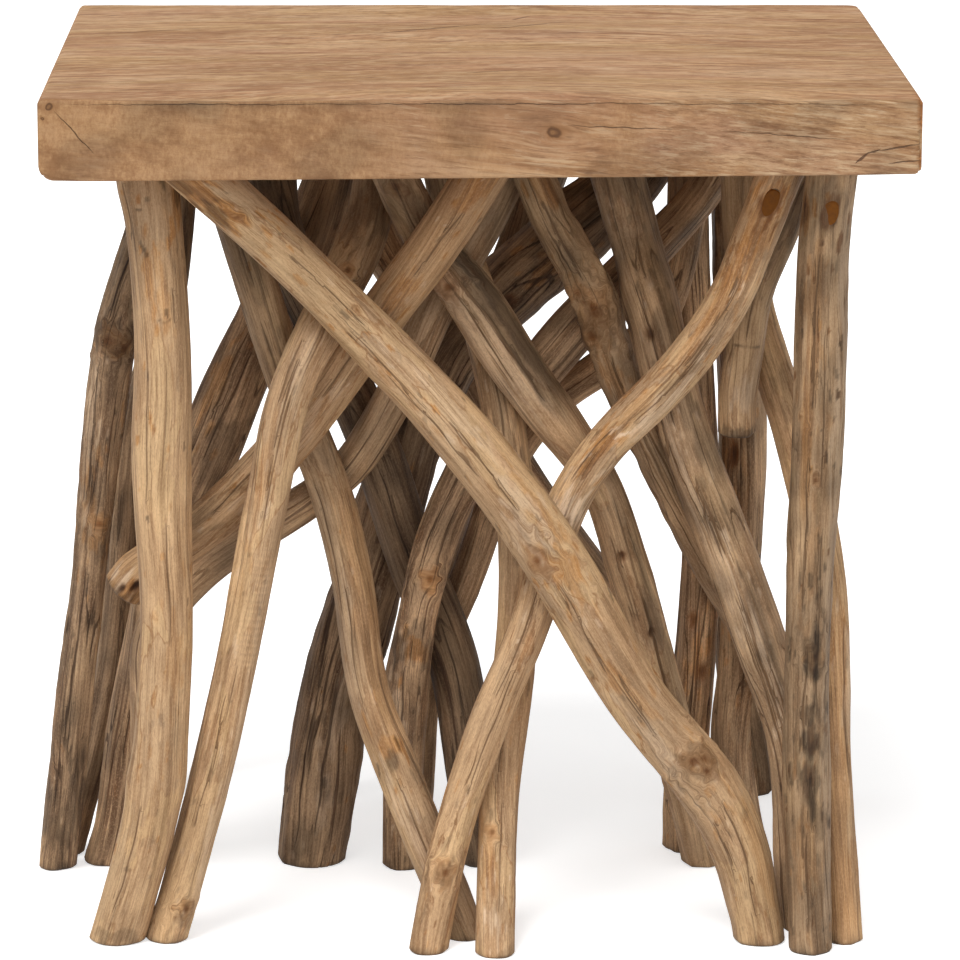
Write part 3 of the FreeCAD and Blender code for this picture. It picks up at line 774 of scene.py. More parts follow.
class BranchWood(Recipe):
    """Finish of a peeled branch; it holds the painted channels and the noises of the grain."""

    def __init__(self, name, dark, middle, light, grey_dark, grey_light):
        super().__init__(name)
        self.dark, self.middle, self.light = dark, middle, light
        self.grey_dark, self.grey_light = grey_dark, grey_light
        self.knot, self.check, self.end, self.bark = self.read("marks")
        self.grey, self.warm, self.pale, self.shade = self.read("tones")
        self.check_side, self.seam_side, self.check_open, self.seam_open = self.read("lines")
        self.fine = self.grained(0.05, 1250, 3, 0.6)
        self.fibre = self.grained(0.035, 520, 4, 0.62)
        self.streak = self.grained(0.06, 160, 4, 0.6)
        self.patch = self.grained(0.3, 40, 5, 0.6)
        self.drift = self.grained(0.6, 13, 3, 0.6)
        self.peel = self.grained(0.2, 80, 6, 0.62, 0.4)
        self.left_bark = self.times((self.peel, 0.56, 0.585), self.bark)
        self.split = self.spread(self.grained(0.018, 330, 2, 0.5), 0.345, 0.315)


print("the branch wood reads grain, marks, tones and lines")

# %% [markdown]
# Fresh wood, as the knife left it. Under its bark the wood is pale brown with darker streaks.
# Here and there a flake of inner bark is left on, with a dark rim where it ends, and some
# places were cut deeper and show as pale islands with a darker shore.

# %% Fresh wood
bark_tone = (150, 102, 60)
bark_rim_tone = (100, 66, 38)
island_tone = (214, 178, 128)
shore_tone = (140, 96, 56)


def fresh_wood(wood, islands):
    """Patches, streaks and clouds; flakes of bark with a dark rim; pale islands with a shore."""
    island = wood.grained(0.3, 44, 4, 0.5, 0.3)
    shore = wood.spread(wood.size(island, 0.54), 0.011, 0.004)
    return wood.lay(wood.middle,
                    ((wood.patch, 0.36, 0.62), wood.light),
                    ((wood.streak, 0.36, 0.52, 0.8, 0.0), wood.dark),
                    ((wood.drift, 0.4, 0.62, 0.0, 0.45), wood.grey_light),
                    (wood.left_bark, bark_tone),
                    (wood.times(wood.left_bark, (wood.peel, 0.585, 0.62, 0.9, 0.0)), bark_rim_tone),
                    ((island, 0.535, 0.55, 0.0, 0.3 * islands), island_tone),
                    (wood.times(shore, (wood.drift, 0.46, 0.54, 0.0, 0.65 * islands)), shore_tone))


print("bark lies on it in", bark_tone)

# %% [markdown]
# Weather and fibres. Rain and sun turn the wood grey in clouds, resin stains it warm, and a
# bleached side is nearly white. Fibres, specks and hair cracks lie over all three, because the
# surface stays wood whatever colour it has turned.

# %% Weather and fibres
resin_tones = (132, 78, 32), (192, 136, 72)
bleached_tone = (206, 180, 152)
crack_tone = (78, 52, 34)


def weathered_wood(wood, base):
    """Grey, resin and bleached coats, each by its painted tone times a noise."""
    silver = wood.lay(wood.grey_dark, ((wood.streak, 0.36, 0.6), wood.grey_light),
                      ((wood.patch, 0.5, 0.68, 0.0, 0.5), wood.middle))
    resin = wood.mix((wood.fibre, 0.35, 0.65), *resin_tones)
    return wood.lay(base,
                    (wood.times(wood.grey, (wood.drift, 0.35, 0.6, 0.75, 1.15), True), silver),
                    (wood.times(wood.warm, (wood.streak, 0.35, 0.6, 0.5, 0.95), True), resin),
                    (wood.times(wood.pale, (wood.fibre, 0.35, 0.6, 0.45, 1.0), True), bleached_tone))


def fibred_wood(wood, base):
    """Dark and light fibres, specks, and hair cracks that are plainer on grey wood."""
    speck = wood.grained(0.4, 1500, 2, 0.7)
    return wood.lay(base,
                    ((wood.fibre, 0.32, 0.48, 0.6, 0.0), wood.dark),
                    ((wood.fine, 0.34, 0.5, 0.5, 0.0), wood.dark),
                    ((wood.fibre, 0.54, 0.68, 0.0, 0.45), wood.light),
                    ((speck, 0.5, 0.72, 0.0, 0.3), wood.light),
                    ((speck, 0.3, 0.5, 0.3, 0.0), wood.dark),
                    (wood.times(wood.split, (wood.grey, 0.1, 0.7, 0.3, 0.7)), crack_tone))


print("resin runs from", resin_tones[0], "to", resin_tones[1])

# %% [markdown]
# Marks with a place of their own. Knots, checks and sawn ends come last, from the attributes
# that were painted with the mesh. A crack is dark where the painted distance to its middle,
# wobbled by the finest fibres, is small, so its edge is as torn as a real one.

# %% Marks on the wood
knot_tones = (70, 40, 18), (136, 84, 40)
check_tone = (58, 38, 25)
crevice_tone = (40, 24, 12)
sawn_tones = (112, 80, 52), (162, 122, 84)


def open_cracks(wood):
    """1 inside a check or a drying seam: where the distance to its middle is under about 1."""
    wobble = wood.spread(wood.fine, 0.3, 0.7, -0.4, 0.2)
    from_check = wood.work_out("ADD", wood.size(wood.check_side), wobble)
    from_seam = wood.work_out("ADD", wood.size(wood.seam_side), wood.times(wobble, 2.0))
    return wood.most(wood.times((from_check, 1.15, 0.7), wood.check_open),
                     wood.times((from_seam, 1.0, 0.45), wood.seam_open))


def marked_wood(wood, base, opened, blackness):
    """Knots, check beds, open cracks and the rings of the sawn ends, then the painted shade."""
    grain = wood.add("Attribute", {}, "Vector", attribute_name="grain")
    heart = wood.mix(wood.noise(grain, 700, 4), *knot_tones)
    crevice = wood.mix(blackness, wood.dark, crevice_tone)
    sawn = wood.mix(wood.rings(grain, 240.0, 2.0, 3.0, 1.5), *sawn_tones)
    base = wood.lay(base,
                    (wood.times(wood.knot, (wood.fine, 0.35, 0.65, 1.0, 0.7)), heart),
                    (wood.times(wood.check, 0.9), check_tone),
                    (wood.times(opened, (wood.fibre, 0.35, 0.6, 0.95, 0.6)), crevice),
                    (wood.times(wood.end, 0.8), sawn))
    return wood.mix(1.0, base, wood.shade, "MULTIPLY")


print("knots run from", knot_tones[0], "to", knot_tones[1])

# %% [markdown]
# Two woods. The branches in front are pale and clean, and those that stood in the weather are
# grey, rougher and blacker in their cracks. Both go through the same steps.

# %% Two woods


def branch_finish(wood, relief_depth=0.7 * mm, islands=1.0, blackness=0.3):
    """All layers in turn, with a bump = fibres + bark - cracks."""
    opened = open_cracks(wood)
    base = fibred_wood(wood, weathered_wood(wood, fresh_wood(wood, islands)))
    relief = wood.weigh((wood.fibre, 0.7), (wood.fine, 0.45), (wood.left_bark, 0.12),
                        (wood.split, -0.6), (opened, -1.2))
    bump = wood.add("Bump", {"Strength": 0.9, "Distance": relief_depth, "Height": relief})
    return wood.finish({"Base Color": marked_wood(wood, base, opened, blackness), "Normal": bump,
                        "Roughness": (wood.fibre, 0.3, 0.7, 0.78, 0.64), "Specular IOR Level": 0.28})


pale_branch = branch_finish(BranchWood("pale_branch_wood", (126, 93, 62), (182, 144, 105), (208, 172, 131),
                                       (110, 86, 64), (164, 138, 110)))
grey_branch = branch_finish(BranchWood("grey_branch_wood", (80, 57, 39), (150, 118, 86), (186, 154, 118),
                                       (78, 55, 38), (150, 122, 94)), 1.05 * mm, islands=0.35, blackness=0.62)
print("branch woods have", len(pale_branch.node_tree.nodes), "nodes each")

# %% [markdown]
# What each branch looks like. The table below is the character of every branch, read from the
# photograph. Most of a look is plain numbers, and what isn't given is as in plain_look:
# "plank_shadow" is how much painted shadow of the plank darkens its head, "grey" and "warm" its
# tones, "shade" its lightness, "bark" how much bark is left on, "flute" and "rough" its relief,
# "twist" the turn of its grain, "fissure" how far it has split in drying. "square_end" branches
# end above the floor, and "rear" ones are seen so little that they get longer steps.
#
# The rest is lists. A place is a share of the length from the top and an angle in degrees.
# - bends: place, share it spreads over, millimetres aside
# - swells: place, angle, half length, half width, rise in millimetres
# - knots: place, angle, size, rise in millimetres
# - checks: start, end, angle, drift in degrees, width in millimetres; depth follows the width
# - nicks: place, angle, half turn in degrees, sag, width in millimetres
# - patches: kind, place, angle, half length, half width in millimetres, strength
# - sides: kind, start, end, angle, half turn in degrees, strength
# - chatter: start, end, pitch in millimetres, angle, spread in degrees
#
# A patch or side is grey, warm, pale or a stain. A patch can also be dark or hollow.

# %% Characters of the branches
characters = {
    "front_left_post": dict(
        plank_shadow=0.1, grey=0.05, shade=1.12, bark=0.12, flute=1.0, twist=0.3, fissure=0.05,
        swells=[(0.775, 250, 12, 9, 1.6), (0.77, 110, 14, 9, 1.2), (0.03, 250, 12, 10, 1.5),
                (0.98, 90, 14, 8, 1.2)],
        checks=[(0.02, 0.09, 232, -4, 0.98), (0.155, 0.2, 158, -6, 0.49), (0.3, 0.42, 210, 3, 0.35),
                (0.44, 0.6, 168, 0, 0.42), (0.8, 0.95, 200, 4, 0.49)],
        nicks=[(0.196, 171, 16, -1.6, 0.5), (0.055, 205, 9, 1.0, 0.5)],
        patches=[("warm", 0.13, 196, 20, 2.5, 0.8), ("warm", 0.17, 172, 18, 3, 0.55),
                 ("grey", 0.05, 185, 26, 15, 0.7), ("warm", 0.04, 112, 16, 7, 0.9),
                 ("stain", 0.035, 100, 10, 5, 0.9), ("grey", 0.9, 225, 30, 8, 0.5),
                 ("warm", 0.62, 155, 26, 5, 0.4), ("stain", 0.985, 180, 4, 16, 0.5)]),
    "back_left_post": dict(
        grey=0.85, shade=1.24, flute=1.3, twist=0.5, fissure=0.8, rough=0.3,
        knots=[(0.243, 196, 6, 1.3), (0.489, 162, 4, 0.8), (0.25, 150, 4, 0.8)],
        checks=[(0.1, 0.22, 200, 6, 0.7), (0.28, 0.45, 215, -6, 0.7), (0.55, 0.8, 190, 5, 0.84)],
        patches=[("stain", 0.24, 180, 12, 16, 0.8), ("stain", 0.9, 140, 26, 10, 0.6),
                 ("pale", 0.35, 225, 40, 3, 0.4), ("warm", 0.47, 200, 20, 6, 0.5)]),
    "thin_left_branch": dict(rear=True, grey=0.8, shade=1.06, fissure=0.5, bends=[(0.5, 0.2, -8.5)]),
    "left_back_lean": dict(
        grey=0.8, shade=1.85, flute=1.5, twist=1.2, fissure=0.7,
        bends=[(0.56, 0.12, -2.5), (0.95, 0.1, 4.5)],
        swells=[(0.16, 90, 34, 9, 3), (0.1, 270, 24, 9, 3.5)],
        checks=[(0.08, 0.25, 190, 10, 0.63), (0.3, 0.42, 205, -8, 0.91), (0.33, 0.46, 180, 4, 0.7),
                (0.6, 0.85, 190, 6, 0.84)],
        patches=[("stain", 0.45, 165, 25, 8, 0.6), ("warm", 0.38, 220, 20, 5, 0.5)]),
    "left_s_branch": dict(
        grey=0.35, shade=0.98, bark=0.4, flute=1.2, fissure=0.3,
        bends=[(1.0, 0.12, 6.5)],
        knots=[(0.36, 168, 4, 0.8)],
        checks=[(0.2, 0.32, 200, 5, 0.7), (0.42, 0.6, 222, -4, 0.7), (0.56, 0.72, 195, 6, 0.56),
                (0.04, 0.16, 178, 8, 0.63), (0.8, 0.92, 185, 0, 0.56)],
        patches=[("warm", 0.76, 172, 9, 6, 1.0), ("stain", 0.775, 175, 6, 3, 0.8),
                 ("pale", 0.85, 205, 26, 4, 0.5), ("stain", 0.1, 180, 40, 12, 0.4)],
        sides=[("pale", 0.42, 0.7, 228, 34, 0.35), ("warm", 0.44, 0.76, 140, 38, 0.4),
               ("stain", 0.2, 0.4, 150, 20, 0.3)]),
    "left_lean_branch": dict(
        grey=0.15, shade=1.16, bark=0.25, flute=1.1, fissure=0.12,
        swells=[(0.26, 90, 20, 9, 2.6), (0.985, 270, 12, 9, 1.2)],
        knots=[(0.957, 152, 4.5, 0.9), (0.21, 185, 4, 0.7)],
        checks=[(0.3, 0.37, 205, 4, 0.98), (0.32, 0.42, 190, -3, 0.63), (0.36, 0.5, 176, 5, 0.49),
                (0.7, 0.86, 190, 4, 0.42)],
        patches=[("pale", 0.86, 130, 40, 5, 0.5), ("stain", 0.1, 190, 30, 12, 0.5),
                 ("warm", 0.45, 205, 40, 4, 0.35), ("pale", 0.33, 180, 18, 4, 0.4),
                 ("stain", 0.965, 150, 9, 7, 0.5)],
        sides=[("pale", 0.55, 0.95, 120, 26, 0.35)],
        chatter=[(0.53, 0.67, 3.6, 148, 38)]),
    "big_diagonal": dict(
        plank_shadow=0.1, grey=0.0, shade=1.02, bark=0.2, flute=0.9, twist=0.4, fissure=0.04,
        knots=[(0.522, 204, 6, 1.0), (0.79, 146, 5, 1.2), (0.782, 166, 5, 1.0), (0.213, 154, 2.5, 0.5),
               (0.8, 158, 3, 0.6), (0.06, 188, 2.5, 0.5)],
        checks=[(0.22, 0.34, 196, -4, 0.49), (0.28, 0.42, 205, -6, 0.49), (0.36, 0.47, 170, 8, 0.49),
                (0.12, 0.24, 166, 4, 0.42), (0.55, 0.66, 196, 0, 0.35), (0.66, 0.74, 178, 10, 0.56),
                (0.82, 0.97, 172, 4, 0.49), (0.85, 0.93, 200, 0, 0.42)],
        patches=[("warm", 0.05, 198, 18, 9, 1.0), ("dark", 0.028, 214, 9, 6, 0.5),
                 ("stain", 0.055, 216, 9, 5, 0.8), ("warm", 0.012, 205, 20, 11, 1.0),
                 ("stain", 0.01, 225, 10, 5, 0.7), ("warm", 0.548, 166, 17, 8, 0.9),
                 ("stain", 0.53, 172, 12, 3, 0.35), ("pale", 0.45, 160, 14, 7, 0.6),
                 ("pale", 0.49, 196, 10, 7, 0.5), ("warm", 0.665, 186, 8, 5, 0.8),
                 ("warm", 0.7, 170, 13, 4, 0.6), ("stain", 0.79, 156, 11, 10, 0.45),
                 ("pale", 0.35, 150, 40, 4, 0.4), ("pale", 0.76, 206, 24, 5, 0.5),
                 ("warm", 0.47, 138, 24, 4, 0.7), ("warm", 0.3, 200, 30, 2.5, 0.4),
                 ("warm", 0.9, 140, 30, 5, 0.45)]),
    "golden_diagonal": dict(
        square_end=True, plank_shadow=0.1, grey=0.05, warm=0.25, shade=0.99, bark=0.5, flute=0.9,
        fissure=0.12,
        knots=[(0.38, 172, 4, 0.7)],
        checks=[(0.3, 0.5, 185, 3, 0.56), (0.6, 0.78, 200, 0, 0.49), (0.1, 0.24, 178, 6, 0.49)],
        patches=[("warm", 0.05, 170, 14, 9, 1.0), ("warm", 0.27, 190, 16, 8, 0.9),
                 ("warm", 0.99, 175, 12, 14, 0.9), ("hollow", 0.965, 172, 4, 2.2, 1.0),
                 ("hollow", 0.985, 196, 3, 1.8, 0.8), ("pale", 0.975, 205, 9, 4, 0.9),
                 ("stain", 0.97, 160, 10, 5, 0.6), ("pale", 0.6, 165, 30, 5, 0.4),
                 ("stain", 0.8, 210, 30, 6, 0.4)]),
    "grey_diagonal": dict(
        grey=0.75, shade=1.17, flute=0.8, fissure=0.45,
        bends=[(0.68, 0.13, -9)],
        checks=[(0.2, 0.4, 130, 6, 0.63), (0.42, 0.56, 200, 4, 0.63), (0.6, 0.75, 200, 0, 0.56)]),
    "far_diagonal": dict(
        rear=True, grey=0.8, shade=1.58, fissure=0.5,
        bends=[(0.18, 0.1, -5), (0.52, 0.12, -3)]),
    "thick_bent_branch": dict(
        grey=0.85, shade=1.11, flute=1.6, fissure=0.9, rough=0.5,
        swells=[(0.59, 270, 16, 9, 3.5), (0.73, 90, 26, 9, 3.5), (0.17, 270, 16, 9, 2)],
        checks=[(0.66, 0.86, 200, 4, 1.12), (0.7, 0.96, 184, -4, 1.12), (0.75, 0.98, 216, 0, 0.98),
                (0.15, 0.32, 178, 8, 0.98), (0.2, 0.34, 150, 0, 0.84)],
        patches=[("hollow", 0.306, 172, 5, 4, 0.9), ("warm", 0.24, 172, 20, 6, 0.6),
                 ("stain", 0.2, 190, 30, 8, 0.6), ("stain", 0.97, 200, 12, 20, 0.4),
                 ("pale", 0.82, 170, 50, 4, 0.3)]),
    "long_bent_branch": dict(
        grey=0.65, shade=1.6, flute=1.2, fissure=0.6,
        swells=[(0.77, 270, 28, 9, 2), (0.59, 90, 20, 9, 1.2)],
        knots=[(0.622, 170, 5, 1.0), (0.42, 195, 4, 0.8)],
        checks=[(0.06, 0.22, 118, 6, 0.98), (0.1, 0.24, 140, 4, 0.84), (0.72, 0.86, 195, 0, 0.77),
                (0.5, 0.62, 205, 0, 0.63)],
        patches=[("stain", 0.7, 190, 10, 22, 0.8), ("warm", 0.7, 180, 8, 10, 0.7),
                 ("pale", 0.8, 210, 36, 4, 0.4)]),
    "shadow_branch": dict(rear=True, grey=0.75, shade=1.9, fissure=0.6, bends=[(0.77, 0.1, -4)]),
    "dark_right_lean": dict(
        rear=True, grey=0.8, shade=0.71, flute=1.2, fissure=0.6,
        bends=[(0.05, 0.1, 3)],
        swells=[(0.06, 90, 22, 9, 4)],
        checks=[(0.45, 0.62, 184, 4, 0.7), (0.66, 0.8, 176, 0, 0.7)]),
    "centre_s_branch": dict(
        grey=0.35, shade=1.23, flute=1.5, fissure=0.25,
        bends=[(0.5, 0.27, -6.3)],
        knots=[(0.166, 206, 6, 1.8), (0.04, 186, 5, 1.0)],
        checks=[(0.12, 0.345, 176, -8, 1.54), (0.14, 0.3, 205, -4, 0.7), (0.46, 0.86, 158, 4, 1.68),
                (0.5, 0.62, 196, 0, 0.7), (0.68, 0.9, 190, 5, 0.77), (0.02, 0.12, 190, 0, 0.7)],
        patches=[("hollow", 0.532, 184, 3, 2.5, 0.9), ("hollow", 0.64, 162, 3, 2.5, 0.9),
                 ("stain", 0.05, 190, 24, 10, 0.5)],
        sides=[("stain", 0.1, 0.35, 118, 34, 0.6), ("stain", 0.1, 0.36, 140, 32, 0.9),
               ("pale", 0.13, 0.36, 212, 40, 0.4), ("stain", 0.42, 0.9, 138, 22, 0.6)]),
    "s_curve_branch": dict(
        plank_shadow=0.1, grey=0.05, shade=1.17, bark=0.7, flute=1.0, fissure=0.12,
        knots=[(0.907, 178, 5, 1.0)],
        checks=[(0.13, 0.25, 185, 4, 0.49), (0.2, 0.34, 172, 6, 0.56), (0.55, 0.7, 195, 0, 0.49),
                (0.66, 0.82, 176, 4, 0.42), (0.36, 0.44, 205, 6, 0.56)],
        # The dark patch at 0.047 round the plug is painted shade of the plug's recess.
        patches=[("dark", 0.047, 180, 9.5, 5.8, 0.95), ("warm", 0.06, 188, 16, 8, 0.9),
                 ("warm", 0.09, 172, 18, 5, 0.9), ("warm", 0.385, 196, 17, 6, 1.0),
                 ("stain", 0.405, 200, 9, 3, 0.5), ("pale", 0.466, 174, 10, 10, 1.0),
                 ("grey", 0.475, 150, 14, 7, 0.9), ("pale", 0.31, 150, 30, 4, 0.7),
                 ("warm", 0.15, 195, 24, 4, 0.6), ("warm", 0.05, 190, 16, 9, 0.6),
                 ("grey", 0.25, 160, 30, 4, 0.5), ("grey", 0.62, 200, 30, 5, 0.45),
                 ("stain", 0.91, 178, 8, 7, 0.5), ("warm", 0.32, 200, 20, 3, 0.6),
                 ("pale", 0.52, 195, 18, 5, 0.5)],
        sides=[("warm", 0.1, 0.24, 214, 12, 0.8), ("grey", 0.12, 0.3, 160, 13, 0.9),
               ("stain", 0.16, 0.26, 178, 4, 0.5)]),
    "bowed_branch": dict(
        grey=0.15, shade=1.2, bark=0.3, flute=1.0, fissure=0.15,
        knots=[(0.86, 196, 3.5, 0.6)],
        checks=[(0.3, 0.44, 186, 0, 0.7), (0.6, 0.8, 190, 0, 0.49), (0.82, 0.95, 170, 4, 0.56)],
        patches=[("pale", 0.955, 190, 6, 5, 0.8), ("stain", 0.3, 190, 50, 12, 0.6),
                 ("warm", 0.9, 200, 20, 5, 0.5)]),
    "upper_centre_branch": dict(
        grey=0.7, shade=1.09, flute=1.6, fissure=0.7, rough=0.7,
        knots=[(0.195, 192, 9, 2.2), (0.225, 225, 6, 1.6), (0.17, 215, 5, 1.2)],
        checks=[(0.25, 0.45, 190, 4, 0.98), (0.3, 0.5, 172, -2, 0.84), (0.06, 0.16, 180, 5, 0.84)],
        patches=[("warm", 0.05, 165, 14, 8, 0.9), ("stain", 0.21, 195, 14, 14, 0.5),
                 ("warm", 0.28, 200, 16, 5, 0.5)]),
    "wide_right_branch": dict(
        grey=0.75, shade=1.15, flute=1.3, fissure=0.8, rough=0.2,
        bends=[(0.93, 0.12, -4.5)],
        checks=[(0.42, 0.53, 184, 4, 0.98), (0.13, 0.2, 175, 3, 0.84), (0.2, 0.36, 196, 0, 0.7),
                (0.58, 0.78, 190, 6, 1.12), (0.62, 0.9, 206, 4, 0.98), (0.66, 0.86, 176, 0, 0.84)],
        patches=[("hollow", 0.259, 200, 3, 2.5, 0.9), ("pale", 0.7, 184, 50, 3.5, 0.7),
                 ("pale", 0.45, 205, 50, 4, 0.5), ("stain", 0.3, 160, 50, 6, 0.5),
                 ("grey", 0.62, 170, 30, 8, 1.0), ("stain", 0.04, 180, 16, 14, 0.5)],
        sides=[("pale", 0.55, 0.95, 186, 9, 0.6), ("stain", 0.55, 0.95, 164, 9, 0.5),
               ("pale", 0.3, 0.6, 214, 14, 0.4), ("stain", 0.05, 0.5, 140, 20, 0.35)]),
    "right_back_post": dict(
        rear=True, grey=0.7, shade=2.15, flute=1.5, fissure=0.8,
        checks=[(0.6, 0.8, 186, 2, 0.84)],
        patches=[("hollow", 0.667, 200, 5, 2.5, 0.7), ("hollow", 0.734, 160, 5, 2.5, 0.7),
                 ("warm", 0.72, 180, 14, 5, 0.6)]),
    "right_mid_post": dict(
        grey=0.65, shade=1.46, flute=1.5, fissure=0.8,
        bends=[(0.22, 0.25, -3.2)],
        checks=[(0.1, 0.3, 190, 3, 0.91), (0.5, 0.7, 200, 0, 0.84)],
        patches=[("hollow", 0.447, 224, 8, 4, 0.9), ("warm", 0.6, 190, 30, 7, 0.5),
                 ("stain", 0.2, 190, 40, 10, 0.5)]),
    "short_right_branch": dict(
        square_end=True, grey=0.4, shade=1.05, fissure=0.5,
        checks=[(0.3, 0.66, 180, 3, 0.7)],
        nicks=[(0.68, 175, 60, 1.5, 0.6)],
        patches=[("stain", 0.985, 180, 3.5, 20, 0.7), ("pale", 0.85, 150, 10, 8, 0.5),
                 ("stain", 0.2, 190, 22, 12, 0.6)]),
    "outer_right_branch": dict(
        grey=0.2, warm=0.15, shade=1.18, bark=0.3, fissure=0.15,
        checks=[(0.6, 0.8, 140, 0, 0.56)],
        patches=[("stain", 0.35, 150, 30, 8, 0.4), ("pale", 0.7, 120, 40, 4, 0.4)],
        sides=[("warm", 0.5, 1.0, 176, 38, 0.5)]),
    "front_right_post": dict(
        plank_shadow=0.1, grey=0.55, shade=0.77, bark=0.35, flute=1.3, fissure=0.4, rough=0.15,
        knots=[(0.39, 184, 2.2, 0.5), (0.312, 228, 2.2, 0.5), (0.615, 168, 5, 0.9)],
        checks=[(0.76, 0.84, 172, 2, 1.12), (0.1, 0.3, 196, 3, 0.63), (0.2, 0.4, 172, -3, 0.56),
                (0.36, 0.56, 205, 2, 0.63), (0.45, 0.7, 160, 2, 0.7), (0.6, 0.74, 190, 3, 0.7),
                (0.84, 0.97, 186, 0, 0.7)],
        patches=[("stain", 0.6, 166, 15, 3, 0.9), ("stain", 0.772, 178, 24, 5, 0.8),
                 # The dark patches at 0.052 and 0.05 round the plug are painted shade of the plug's recess.
                 ("stain", 0.715, 174, 14, 4, 0.7), ("dark", 0.052, 180, 9, 5.4, 0.9),
                 ("warm", 0.056, 246, 10, 5, 1.0), ("dark", 0.05, 250, 5, 2.5, 0.8),
                 ("stain", 0.615, 170, 20, 5, 0.8), ("dark", 0.728, 172, 8, 2.6, 0.6),
                 ("dark", 0.77, 186, 12, 2, 0.6), ("stain", 0.04, 200, 14, 14, 0.5),
                 ("warm", 0.2, 205, 50, 4, 0.45), ("warm", 0.86, 190, 30, 6, 0.4),
                 ("stain", 0.83, 150, 14, 6, 0.6), ("warm", 0.5, 185, 40, 3, 0.3)],
        sides=[("warm", 0.1, 0.27, 196, 11, 0.6), ("warm", 0.27, 0.44, 212, 13, 0.7),
               ("pale", 0.02, 0.96, 118, 26, 0.45), ("grey", 0.3, 0.8, 200, 26, 0.6),
               ("stain", 0.05, 0.9, 246, 14, 0.3)]),
    "rear_left_post": dict(rear=True, grey=0.5, shade=0.85, fissure=0.5, knots=[(0.55, 10, 5, 1.0)]),
    "rear_left_lean": dict(rear=True, grey=0.35, shade=0.9, fissure=0.4, checks=[(0.3, 0.6, 0, 6, 0.84)]),
    "rear_centre_branch": dict(
        rear=True, grey=0.5, shade=0.85, fissure=0.5,
        bends=[(0.22, 0.15, -7.5), (0.6, 0.1, -4)],
        swells=[(0.63, 90, 42, 9, 5), (0.1, 90, 22, 9, 3)],
        knots=[(0.35, 350, 5, 1.2)]),
    "rear_right_lean": dict(
        rear=True, grey=0.3, shade=0.92, fissure=0.3,
        bends=[(0.3, 0.3, -7), (0.75, 0.15, -3.5), (1.0, 0.1, 3)],
        checks=[(0.5, 0.8, 15, 5, 0.84)]),
    "rear_right_post": dict(rear=True, grey=0.55, shade=0.88, fissure=0.6, knots=[(0.7, 5, 5, 1.0)]),
}
print("checks in all", sum(len(look.get("checks", ())) for look in characters.values()))

# %% [markdown]
# Making the branches. Each one gets its own seed, and its grain is shifted far along the
# pattern, so that no two branches show the same streaks. The record says which of the two
# woods a branch has. Each new surface rides on the table's one body and replaces its node.

# %% Build the branches
first_seed = 100
seed_step = 17
grain_shift = 0.9
slots = {entry["node"]: entry["material_slot"] for entry in frame["record"]["subparts"]}
woods = {"pale_branch_wood": pale_branch, "grey_branch_wood": grey_branch}
ring_counts = []
for order, (node, look) in enumerate(characters.items()):
    grid, paints = branch_surface(node, look, first_seed + seed_step * order)
    paints["grain"][..., 2] += grain_shift * order
    piece = surface_object(node + "_wood", grid, paints)
    piece.data.materials.append(woods[slots[node]])
    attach(piece, "root")
    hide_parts(node)
    ring_counts.append(len(grid))
print("branches", len(ring_counts), "rings on the longest", max(ring_counts))

# %% [markdown]
# The plank. It is a closed skin round the long axis: each ring is a rectangle whose four
# corners have their own radius, and the rings follow the length. Near both ends the rings draw
# in along a quarter circle, so the end edges are rounded too. The edges are nearly sharp along
# the middle and softer towards the ends, where a plank is knocked most. A box with a bevel
# would be too even for a plank finished by hand.

# %% Plank rings
plank_rows = 300
end_rows = 9
top_columns, bottom_columns, front_columns, back_columns, corner_columns = 140, 80, 36, 24, 7
left_round, right_round, least_round = 1.6 * mm, 2.2 * mm, 0.4 * mm
half_length, half_depth, half_height = (plank_high - plank_low) / 2


def ring_places(half_y, half_z, radii):
    """Rings of rounded rectangles, one per row, counter-clockwise seen from +X.

    Corner k is the arc (centre + radius cos, centre + radius sin) about its own centre. A side
    is the straight line from the end of one arc to the start of the next.
    """
    corners = ((1, 1, 0.0), (-1, 1, 90.0), (-1, -1, 180.0), (1, -1, 270.0))
    counts = (top_columns, front_columns, bottom_columns, back_columns)
    arcs = []
    for (side_y, side_z, start), radius in zip(corners, radii):
        turn = np.radians(start + np.linspace(0, 90, corner_columns))[None, :]
        arc_y = (side_y * (half_y - radius))[:, None] + radius[:, None] * np.cos(turn)
        arc_z = (side_z * (half_z - radius))[:, None] + radius[:, None] * np.sin(turn)
        arcs.append(np.stack([arc_y, arc_z], -1))
    pieces = []
    for index, count in enumerate(counts):
        share = np.linspace(0, 1, count + 2)[None, 1:-1, None]
        start = arcs[index][:, -1:]
        end = arcs[(index + 1) % 4][:, :1]
        pieces += [arcs[index], start + (end - start) * share]
    return np.concatenate(pieces, 1)


def plank_lengthwise():
    """Place of every ring along the length, and how far it draws in.

    On the quarter circle of an end, x goes out by r sin(turn) and the ring in by r (1 - cos(turn)).
    """
    turn = np.linspace(0, np.pi / 2, end_rows + 1)[1:]
    straight = np.linspace(left_round - half_length, half_length - right_round, plank_rows - 2 * end_rows)
    left = straight[0] - left_round * np.sin(turn[::-1])
    right = straight[-1] + right_round * np.sin(turn)
    inset = np.zeros(plank_rows)
    inset[:end_rows] = left_round * (1 - np.cos(turn[::-1]))
    inset[-end_rows:] = right_round * (1 - np.cos(turn))
    return np.concatenate([left, straight, right]), inset


